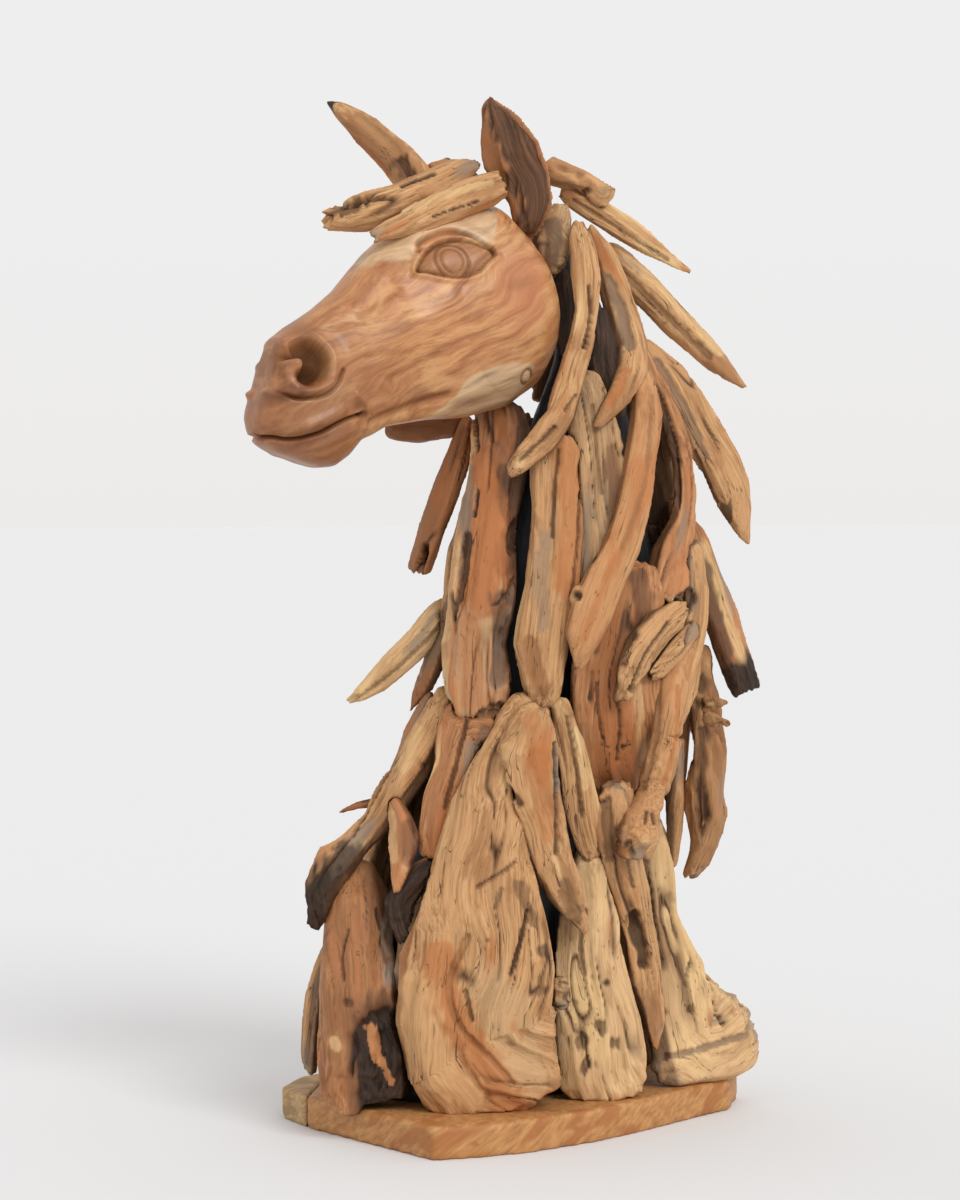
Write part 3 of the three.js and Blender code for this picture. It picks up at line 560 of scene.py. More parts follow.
# Wears a stick. Each pattern's sizes are in millimetres, along the grain first and then across it.
def weather(piece, look, marks, seed):
    mesh = piece.data
    co = pointsOf(mesh)
    normal = normalsOf(mesh)
    s, a, b, way = grainOf(co)
    length = s.max() - s.min()
    s = s - s.min()
    swirl = look.get("swirl", 5)
    a = a + swirl * lumps(s / 60, a / 28, b / 28, seed + 1)
    b = b + swirl * lumps(s / 60, a / 28, b / 28, seed + 2)
    dent = lumps(s / 42, a / 24, b / 24, seed + 3) * look["dents"]
    plane = (0.3 - np.abs(lumps(s / 130, a / 21, b / 21, seed + 22))) * look["planes"]
    grooved = ramp(lumps(s / 70, a / 26, b / 26, seed + 23), -0.25, 0.35)
    flute = (0.3 - np.abs(lumps(s / 110, a / 10, b / 10, seed + 4))) * look["flutes"] * 2 * grooved
    ridge = (lumps(s / 45, a / 4.6, b / 4.6, seed + 5) + 0.5 * lumps(s / 24, a / 3, b / 3, seed + 6))
    ridge = ridge * look["ridges"] * (0.3 + 0.9 * grooved)
    seam = stroke(np.abs(lumps(s / 110, a / 12, b / 12, seed + 7)), 0.14)
    seam = seam * ramp(lumps(s / 60, a / 22, b / 22, seed + 8), 0.0, 0.3)
    pit = ramp(lumps(s / 9, a / 6, b / 6, seed + 9), 0.45, 0.75)
    pit = pit * ramp(lumps(s / 50, a / 30, b / 30, seed + 10), -0.1, 0.4)
    shift = dent + plane + flute + ridge - seam * look["cracks"] - pit * look["pits"]
    fine = ridge + 0.4 * flute - seam * 3 - pit * look["pits"]
    tints = {name: np.zeros(len(co)) for name in tintNames}
    # painted shade: the sunken parts of the wood and its cracks are darkened by how deep they sink
    tints["hollow"] = np.clip(-fine / 3.2, 0, 1) * 0.5 + seam ** 3 * 0.6
    for k, name in enumerate(["red", "pale", "grey"]):
        broad = lumps(s / 90, a / 22, b / 22, seed + 11 + k)
        broad += 0.4 * lumps(s / 40, a / 8, b / 8, seed + 15 + k)
        tints[name] = ramp(broad, 0.75 - 1.3 * look[name], 1.05 - 1.2 * look[name]) * 0.8
    if not look.get("free"):
        middle = np.stack([np.interp(co[:, 2], *zip(*bundle[row])) for row in ("across", "away")], 1)
        out = np.stack([co @ across, co @ away], 1) - middle
        out /= np.linalg.norm(out, axis=1)[:, None]
        outward = normal @ across * out[:, 0] + normal @ away * out[:, 1]
        # painted shade, with dirt, on the sides that turn in between the sticks
        tints["hollow"] += bundle["crevice"] * ramp(outward, 0.45, -0.15)
    nearEnd = np.minimum(s, length - s)
    frayed = ramp(nearEnd, look["fray"] * 2.2, 0) * lumps(s / 30, a / 3.4, b / 3.4, seed + 20)
    endways = np.where(s < length / 2, -1, 1)[:, None] * way
    co = co + normal * shift[:, None] + endways * (frayed * look["fray"] * 0.6)[:, None]
    charStart, charEnd = look.get("charStart", 0), look.get("charEnd", 0)
    for reach, place in ((charStart, s), (charEnd, length - s)):
        if reach:
            edge = place + 10 * lumps(s / 20, a / 9, b / 9, seed + 21)
            tints["burn"] = np.maximum(tints["burn"], ramp(edge, reach, reach * 0.55))
    co = applyMarks(co, normal, marks, tints, seed)
    charred = ramp(tints["burn"], 0.5, 1.0) * (lumps(s / 9, a / 8, b / 8, seed + 24)
                                               + 0.5 * lumps(s / 4, a / 4, b / 4, seed + 25))
    co = co + normal * (1.3 * charred)[:, None]
    setPoints(mesh, co)
    setAttributes(mesh, np.stack([s + 300 * (seed % 7), a, b + 100 * (seed % 5)], 1), tints)


# Marks on the show side: each is a stroke that sinks or raises the wood and stains it; the darkest
# tint in a sunk stroke is painted shade. Paths are (across, height) and widths in millimetres; a small
# edge gives the stroke a sharp border, and clear takes away the stains and painted shade that were
# there.
def applyMarks(co, normal, marks, tints, seed):
    x, z = co @ across, co[:, 2]
    facing = ramp(-(normal @ away), -0.4, 0.0)
    broad = lumps(x / 7, z / 11, co @ away / 9, seed + 30)
    fibres = lumps(x / 3.2, z / 18, co @ away / 5, seed + 31)
    for spot in marks:
        reach = 1 if spot.get("round") else facing
        wide, edge = spot["wide"], spot.get("edge", 0.6)
        rough = spot.get("rough", 0.35) * wide * (0.6 * broad + 0.8 * fibres)
        gap = distanceTo(x, z, spot["path"]) + rough
        sunk = ramp(gap, wide, wide * (1 - edge)) * reach
        stained = ramp(gap, wide, wide * (1 - 0.7 * edge)) * reach
        co = co - normal * (sunk * spot.get("deep", 0))[:, None]
        for name in tintNames:
            kept = tints[name] * (1 - stained * spot.get("clear", 0))
            tints[name] = kept + stained * spot.get(name, 0)
    return co


# Each stick's wood, how worn it is, and what is special about it.
def stick(wood, worn, **special):
    return {**wear[worn], "wood": wood, **special}


sticks = {
    "left_ear": stick("orange_driftwood", "smooth", free=True, red=0.6),
    "left_ear_wedge": stick("grey_driftwood", "grey"),
    "right_ear": stick("tan_driftwood", "plain", free=True, charEnd=16, red=0.4),
    "forelock_near": stick("tan_driftwood", "rotten", free=True, red=0.3, grey=0.1),
    "forelock_far": stick("tan_driftwood", "rotten", free=True),
    "forelock_knob": stick("orange_driftwood", "plain", grey=0.4),
    "mane_from_ear_curved": stick("tan_driftwood", "plain", pale=0.2),
    "mane_behind_ear_hooked": stick("tan_driftwood", "plain", red=0.35),
    "mane_long_smooth": stick("tan_driftwood", "smooth", stubs=[
        ((80, -137, 500), (56, -139, 509), 11, 8)]),
    "mane_split_finger": stick("tan_driftwood", "rotten", grey=0.1),
    "mane_split_finger_short": stick("tan_driftwood", "plain"),
    "mane_long_with_knob": stick("tan_driftwood", "plain", red=0.3, stubs=[
        ((158, -52, 455), (151, -74, 425), 14, 14.5),
        ((151, -74, 425), (146, -86, 372), 14.5, 14),
        ((146, -86, 372), (136, -90, 333), 14, 13.5),
        ((136, -90, 333), (127, -96, 306), 13.5, 14),
        ((127, -96, 306), (116, -104, 282), 15, 18),
        ((116, -104, 284), (111, -102, 262), 16.5, 12)]),
    "mane_forked_flare": stick("orange_driftwood", "plain", swirl=7),
    "shoulder_burl_strand": stick("tan_driftwood", "plain", dents=3.0, swirl=12),
    "shoulder_pointed_strand": stick("tan_driftwood", "grey"),
    "chest_large_slab": stick("tan_driftwood", "smooth", swirl=9, dents=3.6, planes=7.0,
                              cracks=2.5, grey=0.2),
    "shoulder_thin_strand": stick("tan_driftwood", "pale"),
    "shoulder_lower_slab": stick("pale_driftwood", "pale", swirl=7, flutes=1.0),
    "shoulder_stub": stick("grey_driftwood", "plain"),
    "chest_orange_flap": stick("orange_driftwood", "smooth", red=0.5),
    "chest_long_diagonal": stick("tan_driftwood", "rotten", charStart=62),
    "chest_twig": stick("charred_wood", "plain"),
    "chest_thin_edge": stick("tan_driftwood", "plain"),
    "chest_trunk_burnt": stick("orange_driftwood", "smooth", swirl=8, planes=7.0, dents=3.0,
                               red=0.1),
    "neck_plank": stick("tan_driftwood", "plain", grey=0.4),
    "neck_front_slab": stick("orange_driftwood", "plain", dents=3.0, cracks=4.5),
    "neck_front_lower_strand": stick("orange_driftwood", "plain"),
    "mane_grey_slab": stick("grey_driftwood", "grey"),
    "shoulder_back_flare": stick("pale_driftwood", "pale", flutes=0.8, ridges=0.35, swirl=4),
    "neck_red_slab": stick("orange_driftwood", "orange", ridges=1.0),
    "mane_short_finger": stick("tan_driftwood", "plain"),
    "mane_dark_strand": stick("charred_wood", "plain"),
    "mane_dark_sliver": stick("charred_wood", "plain"),
    "mane_back_1": stick("tan_driftwood", "rotten", free=True),
    "mane_back_2": stick("tan_driftwood", "smooth", free=True),
    "mane_back_3": stick("tan_driftwood", "plain", free=True, grey=0.4),
    "mane_back_4": stick("tan_driftwood", "smooth", free=True, pale=0.3),
    "mane_back_5": stick("orange_driftwood", "plain", free=True, charStart=40),
    "mane_back_6": stick("tan_driftwood", "rotten", free=True, stubs=[
        ((186, -2, 397), (211, -2, 400), 5, 3.2),
        ((188, -2, 385), (213, -2, 379), 5, 3)]),
    "mane_back_7": stick("tan_driftwood", "plain"),
    "throat_two_pronged": stick("orange_driftwood", "orange", free=True),
    "throat_pointed": stick("tan_driftwood", "plain"),
    "throat_pale_branch": stick("pale_driftwood", "pale", free=True),
    "jaw_stub": stick("orange_driftwood", "smooth", free=True),
    "chest_thin_plank": stick("tan_driftwood", "plain"),
    "chest_dark_strand": stick("charred_wood", "rotten"),
    "chest_grey_filler": stick("grey_driftwood", "grey"),
    "far_mane_top": stick("tan_driftwood", "plain"),
    "far_mane_long": stick("grey_driftwood", "grey"),
    "far_neck_slab": stick("orange_driftwood", "orange"),
    "far_throat_slab": stick("tan_driftwood", "plain"),
    "far_back_strand": stick("tan_driftwood", "grey"),
    "far_ridge_strand": stick("orange_driftwood", "plain"),
    "far_shoulder_slab": stick("pale_driftwood", "pale", swirl=12),
    "far_chest_slab": stick("orange_driftwood", "plain", swirl=12),
    "far_chest_front_strand": stick("tan_driftwood", "plain"),
}


# A stroke along a path: how far it reaches to each side and what it does there.
def mark(path, wide, **look):
    return {"path": path, "wide": wide, **look}


# The darkest tint, on a stroke sunk into the wood, is painted shade in that groove or hole; on a flat
# stroke it is a dark stain.
marks = {
    "left_ear": [
        mark([(-24, 955), (-18, 915), (-10, 880), (2, 845)], 19, edge=0.5, red=0.5, hollow=0.42,
             clear=1),
        mark([(-6, 950), (13, 912), (26, 880), (32, 845)], 24, deep=4, edge=0.4, hollow=0.95,
             clear=1),
        mark([(4, 957), (30, 915), (46, 882), (42, 850)], 4, red=0.6, clear=0.4),
        mark([(-18, 966), (-11, 925), (0, 879), (9, 842)], 4, deep=-2.5),
    ],
    "right_ear": [
        mark([(-80, 870), (-98, 903), (-118, 924), (-140, 942)], 20.8, red=0.35, hollow=0.3),
        mark([(-84, 878), (-96, 898), (-104, 908)], 9, deep=3, edge=0.6, hollow=0.6, rough=0.5),
    ],
    "left_ear_wedge": [
        mark([(40, 850), (38, 815)], 9.6, hollow=0.6, grey=0.4),
    ],
    "forelock_near": [
        mark([(-20, 884), (-60, 871), (-95, 856)], 5, deep=-2, pale=0.5),
        mark([(-30, 866), (-70, 851)], 2, deep=3, hollow=0.9),
    ],
    "forelock_far": [
        mark([(-162, 856), (-138, 865)], 7.2, deep=4, hollow=0.8, rough=0.8),
        mark([(-157, 863), (-130, 868), (-111, 870)], 2.8, deep=5, burn=0.6),
        mark([(-100, 882), (-70, 894)], 2.4, deep=3, hollow=0.9),
    ],
    "mane_from_ear_curved": [
        mark([(72, 790), (74, 762), (68, 734)], 2.4, deep=3, hollow=0.9),
        mark([(40, 660), (24, 645), (8, 630)], 3.1, deep=4, edge=0.6, burn=0.7),
        mark([(60, 690), (50, 676)], 2, deep=3, burn=0.6),
    ],
    "mane_behind_ear_hooked": [
        mark([(92, 800), (104, 768), (110, 738)], 7.2, deep=3, grey=0.6, hollow=0.3),
        mark([(106, 712), (92, 682)], 6, deep=2, red=0.8),
    ],
    "mane_long_smooth": [
        mark([(60, 507)], 6, deep=7, edge=0.6, burn=1, rough=0.1),
        mark([(124, 690), (116, 610), (92, 540), (68, 460)], 30, edge=1, red=0.35, clear=0.5),
        mark([(132, 690), (124, 610), (102, 550)], 3, hollow=0.35),
    ],
    "mane_forked_flare": [
        mark([(139, 702), (152, 664), (160, 625), (160, 590)], 2, deep=3, hollow=0.9),
        mark([(171, 507), (160, 500), (147, 488)], 6.4, deep=5, burn=0.8),
        mark([(127, 507), (146, 501), (165, 495)], 5, deep=-3, pale=0.6),
    ],
    "mane_long_with_knob": [
        mark([(171, 507), (173, 498), (164, 487), (156, 474)], 5, deep=5, burn=0.9),
        mark([(152, 440), (148, 380), (136, 330), (124, 300)], 26, edge=0.6, red=0.2, clear=0.8),
        mark([(140, 440), (137, 380), (124, 325)], 2.4, deep=1, hollow=0.4),
        mark([(156, 420), (154, 370), (143, 330)], 3, deep=1.5, red=0.6),
        mark([(126, 305), (125, 295)], 2, deep=3, burn=0.7),
        mark([(132, 303), (134, 293)], 2, deep=3, burn=0.7),
        mark([(108, 276), (112, 266)], 5, deep=3, hollow=0.7),
        mark([(122, 278)], 7, deep=-3, pale=0.3),
    ],
    "mane_split_finger": [
        mark([(147, 480), (126, 454), (116, 433), (111, 418)], 2.2, deep=5, burn=0.8),
        mark([(152, 440)], 4, deep=4, burn=0.8),
    ],
    "mane_back_1": [
        mark([(51, 872)], 4, deep=5, burn=0.8),
        mark([(72, 884)], 4.8, deep=5, burn=0.7),
        mark([(72, 858)], 3.2, deep=4, burn=0.8),
    ],
    "mane_back_2": [
        mark([(60, 876), (110, 846), (150, 822)], 2.2, deep=2, hollow=0.6),
    ],
    "mane_back_3": [
        mark([(100, 816), (142, 776), (190, 730)], 4.8, deep=3, hollow=0.55),
        mark([(105, 832), (150, 788), (200, 735)], 6, pale=0.6),
    ],
    "mane_back_4": [
        mark([(176, 640), (188, 612), (198, 592)], 2.5, deep=2, hollow=0.7),
        mark([(207, 585), (209, 576)], 7, edge=0.6, burn=0.8, rough=0.7),
        mark([(140, 725), (166, 680), (186, 636)], 5.6, deep=3, grey=0.5, hollow=0.3),
    ],
    "mane_back_5": [
        mark([(176, 545), (190, 495), (202, 452), (208, 424)], 13, edge=0.4, burn=0.75),
        mark([(186, 550), (206, 492), (224, 440)], 7, pale=0.6),
    ],
    "mane_back_6": [
        mark([(186, 417)], 11, deep=5, edge=0.7, burn=0.7),
        mark([(182, 398)], 8, deep=4, edge=0.7, burn=0.7),
        mark([(186, 372), (184, 330), (190, 290)], 7.2, deep=3, hollow=0.6),
        mark([(194, 410), (196, 350), (204, 290), (190, 260)], 30, edge=0.4, hollow=0.3, red=0.2),
    ],
    "mane_grey_slab": [
        mark([(76, 680), (80, 640), (84, 600)], 2.8, deep=2, hollow=0.5),
        mark([(94, 640), (98, 600), (96, 560)], 7.2, deep=1, hollow=0.5, red=0.3),
    ],
    "neck_front_slab": [
        mark([(-19, 629), (-17, 584), (-22, 545), (-27, 509), (-29, 496)], 17, deep=-2, edge=0.4,
             red=0.85, clear=0.8),
        mark([(-40, 650), (-48, 590), (-55, 530), (-62, 470)], 11, pale=0.6),
        mark([(-34, 476), (-30, 440), (-20, 405)], 28, pale=0.2, grey=0.2, clear=0.6),
        mark([(-34, 690), (-10, 680), (8, 650)], 24, edge=1, hollow=0.5),
        mark([(10, 660), (8, 600), (2, 545), (0, 500)], 5, edge=1, hollow=0.5),
        mark([(-36, 620), (-40, 580), (-40, 545)], 7.2, grey=0.6, hollow=0.2),
        mark([(-4, 620), (-2, 590), (2, 575)], 9.6, grey=0.35, hollow=0.45),
        mark([(-2, 560), (-6, 535)], 11, edge=0.5, red=0.6, hollow=0.2),
        mark([(-33, 672), (-30, 640)], 2.2, deep=4, burn=0.9),
        mark([(-30, 601), (-33, 580)], 2.8, deep=5, burn=0.95),
        mark([(-41, 560), (-44, 530), (-49, 504), (-53, 486)], 5.6, deep=4, hollow=0.9, rough=0.9),
        mark([(16, 580), (4, 566), (3, 549)], 6.4, deep=9, hollow=0.9),
        mark([(3, 520), (-4, 505), (-16, 497)], 2.2, deep=3, hollow=0.6),
        mark([(-35, 390), (-19, 398), (0, 402)], 5.6, deep=6, burn=0.6, rough=0.7),
        mark([(-10, 501), (-7, 464), (-10, 430)], 11.2, deep=3, hollow=0.5, grey=0.4),
        mark([(-36, 480), (-36, 440), (-34, 410)], 12, red=0.5),
        mark([(-14, 640), (6, 600), (10, 640)], 9.6, grey=0.5, hollow=0.3),
    ],
    "neck_plank": [
        mark([(50, 640), (55, 600), (56, 560), (51, 518)], 17, deep=-1, edge=0.8, red=0.7,
             clear=0.8),
        mark([(44, 640), (40, 600), (38, 560)], 2.4, deep=3, hollow=0.8),
        mark([(64, 600), (61, 550), (56, 505)], 2.2, deep=3, hollow=0.7),
        mark([(33, 560), (28, 520), (30, 480)], 9, edge=0.8, grey=0.5),
        mark([(18, 462), (22, 438), (30, 416)], 9, deep=2, red=0.5, hollow=0.3),
    ],
    "neck_red_slab": [
        mark([(100, 520), (98, 460), (92, 400), (98, 330)], 28.8, red=0.6, hollow=0.18),
        mark([(80, 424), (82, 395), (86, 372)], 1.6, deep=3, hollow=0.6),
        mark([(98, 412), (102, 388), (100, 350)], 1.6, deep=3, hollow=0.6),
        mark([(90, 410), (93, 370), (97, 335)], 2.4, deep=-1, pale=0.4),
        mark([(110, 400), (112, 360)], 2.4, deep=-1, pale=0.35),
        mark([(84, 366), (100, 362), (112, 366)], 1.6, deep=2, hollow=0.8, rough=1.2),
        mark([(120, 520), (126, 470), (124, 430)], 11.2, hollow=0.55),
    ],
    "neck_front_lower_strand": [
        mark([(-40, 390), (-50, 350), (-60, 310)], 2.8, deep=4, hollow=0.8),
        mark([(-60, 300), (-68, 270)], 14, red=0.7),
        mark([(-24, 380), (-34, 340)], 6.4, deep=2, grey=0.5, hollow=0.3),
    ],
    "throat_two_pronged": [
        mark([(-86, 516), (-84, 532), (-80, 550)], 5, deep=22, hollow=0.9, rough=0.2),
        mark([(-50, 650), (-66, 590), (-84, 525)], 26, edge=0.4, red=0.3, hollow=0.4),
    ],
    "jaw_stub": [
        mark([(-110, 659), (-60, 662)], 30, edge=0.3, red=0.3, hollow=0.6),
    ],
    "throat_pointed": [
        mark([(-56, 500), (-72, 450), (-90, 402)], 6.4, grey=0.6, hollow=0.3),
    ],
    "throat_pale_branch": [
        mark([(-60, 482), (-95, 446), (-140, 410)], 2.8, deep=3, hollow=0.6),
        mark([(-145, 408)], 6.4, deep=2, hollow=0.5),
    ],
    "shoulder_burl_strand": [
        mark([(-21, 360), (-12, 339), (9, 316)], 4.8, deep=5, hollow=0.7),
        mark([(-2, 364)], 14, deep=-4, pale=0.2),
        mark([(40, 372), (42, 307), (42, 269)], 2, deep=4, burn=0.7),
        mark([(9, 288)], 4.8, deep=-2, hollow=0.8),
        mark([(20, 390), (26, 340), (34, 290)], 12, red=0.5),
        mark([(50, 240), (62, 205)], 8, hollow=0.5),
    ],
    "shoulder_thin_strand": [
        mark([(52, 395), (60, 350), (66, 300)], 2.2, deep=3, hollow=0.7),
        mark([(62, 380), (70, 330)], 7, pale=0.6),
    ],
    "shoulder_pointed_strand": [
        mark([(118, 200), (122, 181), (128, 158)], 9, deep=6, edge=0.5, burn=0.85),
        mark([(88, 310), (94, 280), (92, 262)], 7.2, deep=4, hollow=0.6, rough=0.8),
        mark([(108, 300), (110, 262), (116, 230)], 2.4, deep=3, burn=0.6),
    ],
    "shoulder_lower_slab": [
        mark([(65, 87)], 9, deep=2, edge=0.7, hollow=0.8, rough=0.7),
        mark([(73, 64)], 8, deep=2, edge=0.7, hollow=0.8, rough=0.7),
        mark([(99, 85)], 7, deep=2, edge=0.7, hollow=0.8, rough=0.7),
        mark([(85, 103), (88, 96)], 6, deep=2, edge=0.7, hollow=0.8, rough=0.7),
        mark([(70, 210), (66, 180), (70, 150)], 2.4, deep=3, burn=0.6),
        mark([(84, 240), (86, 205)], 8, pale=0.5),
        mark([(91, 142)], 4.6, deep=1.2, edge=0.8, burn=0.85, rough=0),
    ],
    "shoulder_back_flare": [
        mark([(128, 280), (130, 250), (126, 215)], 7, hollow=0.5),
        mark([(146, 101)], 7, deep=4, edge=0.6, hollow=0.9),
        mark([(176, 144), (172, 132)], 2.2, deep=3, burn=0.6),
        mark([(195, 130)], 3.2, deep=4, burn=0.7),
        mark([(214, 120)], 3.2, deep=4, burn=0.7),
        mark([(228, 102)], 3.2, deep=4, burn=0.7),
        mark([(176, 102)], 4, deep=4, burn=0.6),
        mark([(204, 92)], 3.2, deep=4, burn=0.7),
        mark([(132, 270), (136, 220), (142, 170)], 2.8, deep=3, hollow=0.6),
        mark([(150, 60), (190, 66), (232, 74)], 4, deep=2, grey=0.5, hollow=0.4),
    ],
    "chest_trunk_burnt": [
        mark([(-140, 240), (-145, 190), (-150, 120), (-150, 60)], 32, hollow=0.22, red=0.15,
             clear=0.5),
        mark([(-108, 208), (-108, 178)], 13, edge=0.4, grey=0.85, clear=0.7),
        mark([(-107, 160), (-104, 150)], 13, edge=0.4, grey=0.95, clear=0.7),
        mark([(-124, 214), (-120, 196)], 2.2, deep=3, hollow=0.6),
        mark([(-114, 108), (-112, 40)], 43.2, hollow=0.85, rough=0.1, clear=0.6),
        mark([(-114, 96), (-106, 28)], 38, round=True, deep=9, edge=0.3, burn=1.25, rough=0.12,
             clear=1),
        mark([(-118, 92), (-114, 60)], 11.2, deep=5, burn=0.4, rough=0.9),
        mark([(-132, 108), (-127, 88), (-120, 74)], 5.5, deep=-1, edge=0.4, red=0.8, pale=0.5,
             clear=1, rough=0.7),
        mark([(-114, 64), (-106, 58)], 4.5, deep=-1, edge=0.4, red=0.7, pale=0.3, clear=0.9,
             rough=1),
        mark([(-163, 94), (-160, 89)], 5, edge=0.5, pale=0.7, clear=0.6),
        mark([(-150, 130)], 6.4, deep=2, hollow=0.6),
        mark([(-150, 196), (-156, 170), (-154, 150)], 1.8, deep=2, hollow=0.6),
    ],
    "chest_long_diagonal": [
        mark([(-113, 342), (-128, 316), (-147, 280)], 2.2, deep=4, burn=0.7),
        mark([(-85, 380), (-100, 345)], 7, pale=0.5),
        mark([(-150, 262), (-170, 240), (-182, 205)], 16, burn=0.75),
        mark([(-136, 268), (-120, 262)], 10, deep=2, pale=0.4),
    ],
    "chest_orange_flap": [
        mark([(-96, 290), (-94, 262)], 9, deep=2, hollow=0.5),
        mark([(-112, 300), (-108, 262)], 6, pale=0.4),
    ],
    "chest_grey_filler": [
        mark([(-88, 230), (-92, 180)], 20.8, hollow=0.5, burn=0.2),
        mark([(-98, 158), (-98, 146)], 14, grey=0.6),
    ],
    "chest_thin_plank": [
        mark([(-166, 180), (-182, 130), (-190, 60)], 6.4, grey=0.5, hollow=0.3),
    ],
    "chest_large_slab": [
        mark([(-64, 178), (-64, 148), (-52, 120), (-33, 86), (-13, 58), (0, 36)], 20, deep=-2,
             edge=0.5, red=0.75, clear=0.7),
        mark([(-84, 144), (-79, 116), (-65, 78), (-40, 50)], 22, deep=-3, edge=0.6, pale=0.35,
             red=0.2, clear=0.8),
        mark([(-39, 195), (-54, 162), (-56, 139), (-45, 111), (-19, 83), (2, 59)], 4, deep=4,
             hollow=0.25),
        mark([(16, 218), (9, 190), (0, 160)], 2.4, deep=5, burn=0.9),
        mark([(-41, 145), (-38, 132), (-35, 117)], 2.4, deep=4, burn=0.7),
        mark([(-30, 240), (-9, 253), (4, 263)], 2.1, deep=4, hollow=0.5),
        mark([(31, 180)], 8, deep=2, burn=0.6),
        mark([(29, 144)], 6.4, deep=2, burn=0.5),
        mark([(-8, 239), (-14, 222)], 2.4, deep=1, burn=0.5),
        mark([(6, 242), (16, 222), (22, 205)], 7.2, deep=1, burn=0.5, rough=0.6),
        mark([(-21, 192)], 3.2, deep=1, burn=0.6),
        mark([(-20, 150), (0, 110), (20, 70)], 26, pale=0.35, grey=0.15, clear=0.4),
    ],
}

# Mesh fineness, in millimetres, of the sticks that show and of the plainer rest, then how many rounding
# steps they get and how much they swell to make up for them.
sizes = {"nearVoxel": 2.0, "farVoxel": 3.4, "boardVoxel": 3.5, "coreVoxel": 6.0, "rounding": 8,
         "swell": 0.8}
total = 0
for seed, (name, look) in enumerate(sticks.items()):
    voxel = sizes["farVoxel" if name.startswith("far_") else "nearVoxel"]
    piece = wornCopy(name + "_worn", name, voxel, sizes["rounding"], sizes["swell"],
                     look.get("stubs", ()))
    weather(piece, look, marks.get(name, []), seed * 40 + 7)
    finishPiece(piece, materials[look["wood"]], look["wood"], name)
    total += len(piece.data.polygons) * 2
print("sticks shaped, triangles", total)

# Sections along the face, from the back of the cheeks to the lips: place, brow side, jaw side and half
# width. The head's own frame has p towards the lips, q up from the face and w to the horse's left.
headSections = [
    (-52, 40, -14, 34), (-46, 66, -42, 48), (-33, 90, -62, 57), (-12, 102, -80, 61), (21, 106, -88, 63),
    (63, 105, -83, 61), (104, 91, -72, 55), (148, 68, -63, 44), (174, 59, -67, 39), (190, 56, -76, 40),
    (207, 53, -80, 42),
    (222, 47, -76, 42), (235, 31, -67, 39), (247, 15, -58, 34), (259, 1, -48, 27), (267, -9, -39, 20),
    (270, -15, -33, 11),
]
headPlace = {"root": (61.5, -57.5, 770.0), "tilt": 20}
headMeshing = {"rings": 280, "around": 320}


def headToRow(p, w, q):
    tilt = math.radians(headPlace["tilt"])
    forward = p * math.cos(tilt) + q * math.sin(tilt)
    rise = -p * math.sin(tilt) + q * math.cos(tilt)
    root = headPlace["root"]
    return np.stack([root[0] + w, root[1] - forward, root[2] + rise], -1)


def headForm():
    stations = np.array(headSections, float)
    even = np.arange(stations[0, 0], stations[-1, 0] + 0.5, 1.0)
    profiles = []
    for column in (1, 2, 3):
        line = np.interp(even, stations[:, 0], stations[:, column])
        for smooth in range(6):
            line[1:-1] = (line[:-2] + 2 * line[1:-1] + line[2:]) / 4
        profiles.append(line)
    t = np.linspace(0, 1, headMeshing["rings"])
    eased = 0.45 * t + 0.55 * (0.5 - 0.5 * np.cos(np.pi * t))
    p = even[0] + (even[-1] - even[0]) * eased
    top, low, half = [np.interp(p, even, line)[:, None] for line in profiles]
    # squared ovals, narrower above and below their middle, squarer at the muzzle
    angle = np.linspace(0, 2 * math.pi, headMeshing["around"], endpoint=False)[None, :]
    c, s = np.cos(angle), np.sin(angle)
    middle = low + 0.46 * (top - low)
    muzzle = ramp(p, 205, 235)[:, None]
    narrow = 1 - np.where(s > 0, 0.24 - 0.16 * muzzle, 0.16) * s * s
    w = np.sign(c) * np.abs(c) ** (0.75 - 0.2 * muzzle) * half * narrow
    reach = np.where(s > 0, top - middle, middle - low)
    q = middle + np.sign(s) * np.abs(s) ** (0.9 - 0.15 * muzzle) * reach
    return p[:, None] + 0 * q, w, q


def headMesh():
    p, w, q = headForm()
    rings, around = p.shape
    ends = [(p[0, 0], 0.0, q[0].mean()), (p[-1, 0] + 1.5, 0.0, q[-1].mean())]
    own = np.concatenate([np.stack([p, w, q], -1).reshape(-1, 3), ends])
    faces = []
    for ring in range(rings - 1):
        for k in range(around):
            after = (k + 1) % around
            faces.append((ring * around + k, ring * around + after, (ring + 1) * around + after,
                          (ring + 1) * around + k))
    for k in range(around):
        after = (k + 1) % around
        faces.append((rings * around, after, k))
        faces.append((rings * around + 1, (rings - 1) * around + k, (rings - 1) * around + after))
    mesh = bpy.data.meshes.new("carved_head_polished")
    mesh.from_pydata((headToRow(own[:, 0], own[:, 1], own[:, 2]) * mm).tolist(), [], faces)
    mesh.update()
    return mesh, own


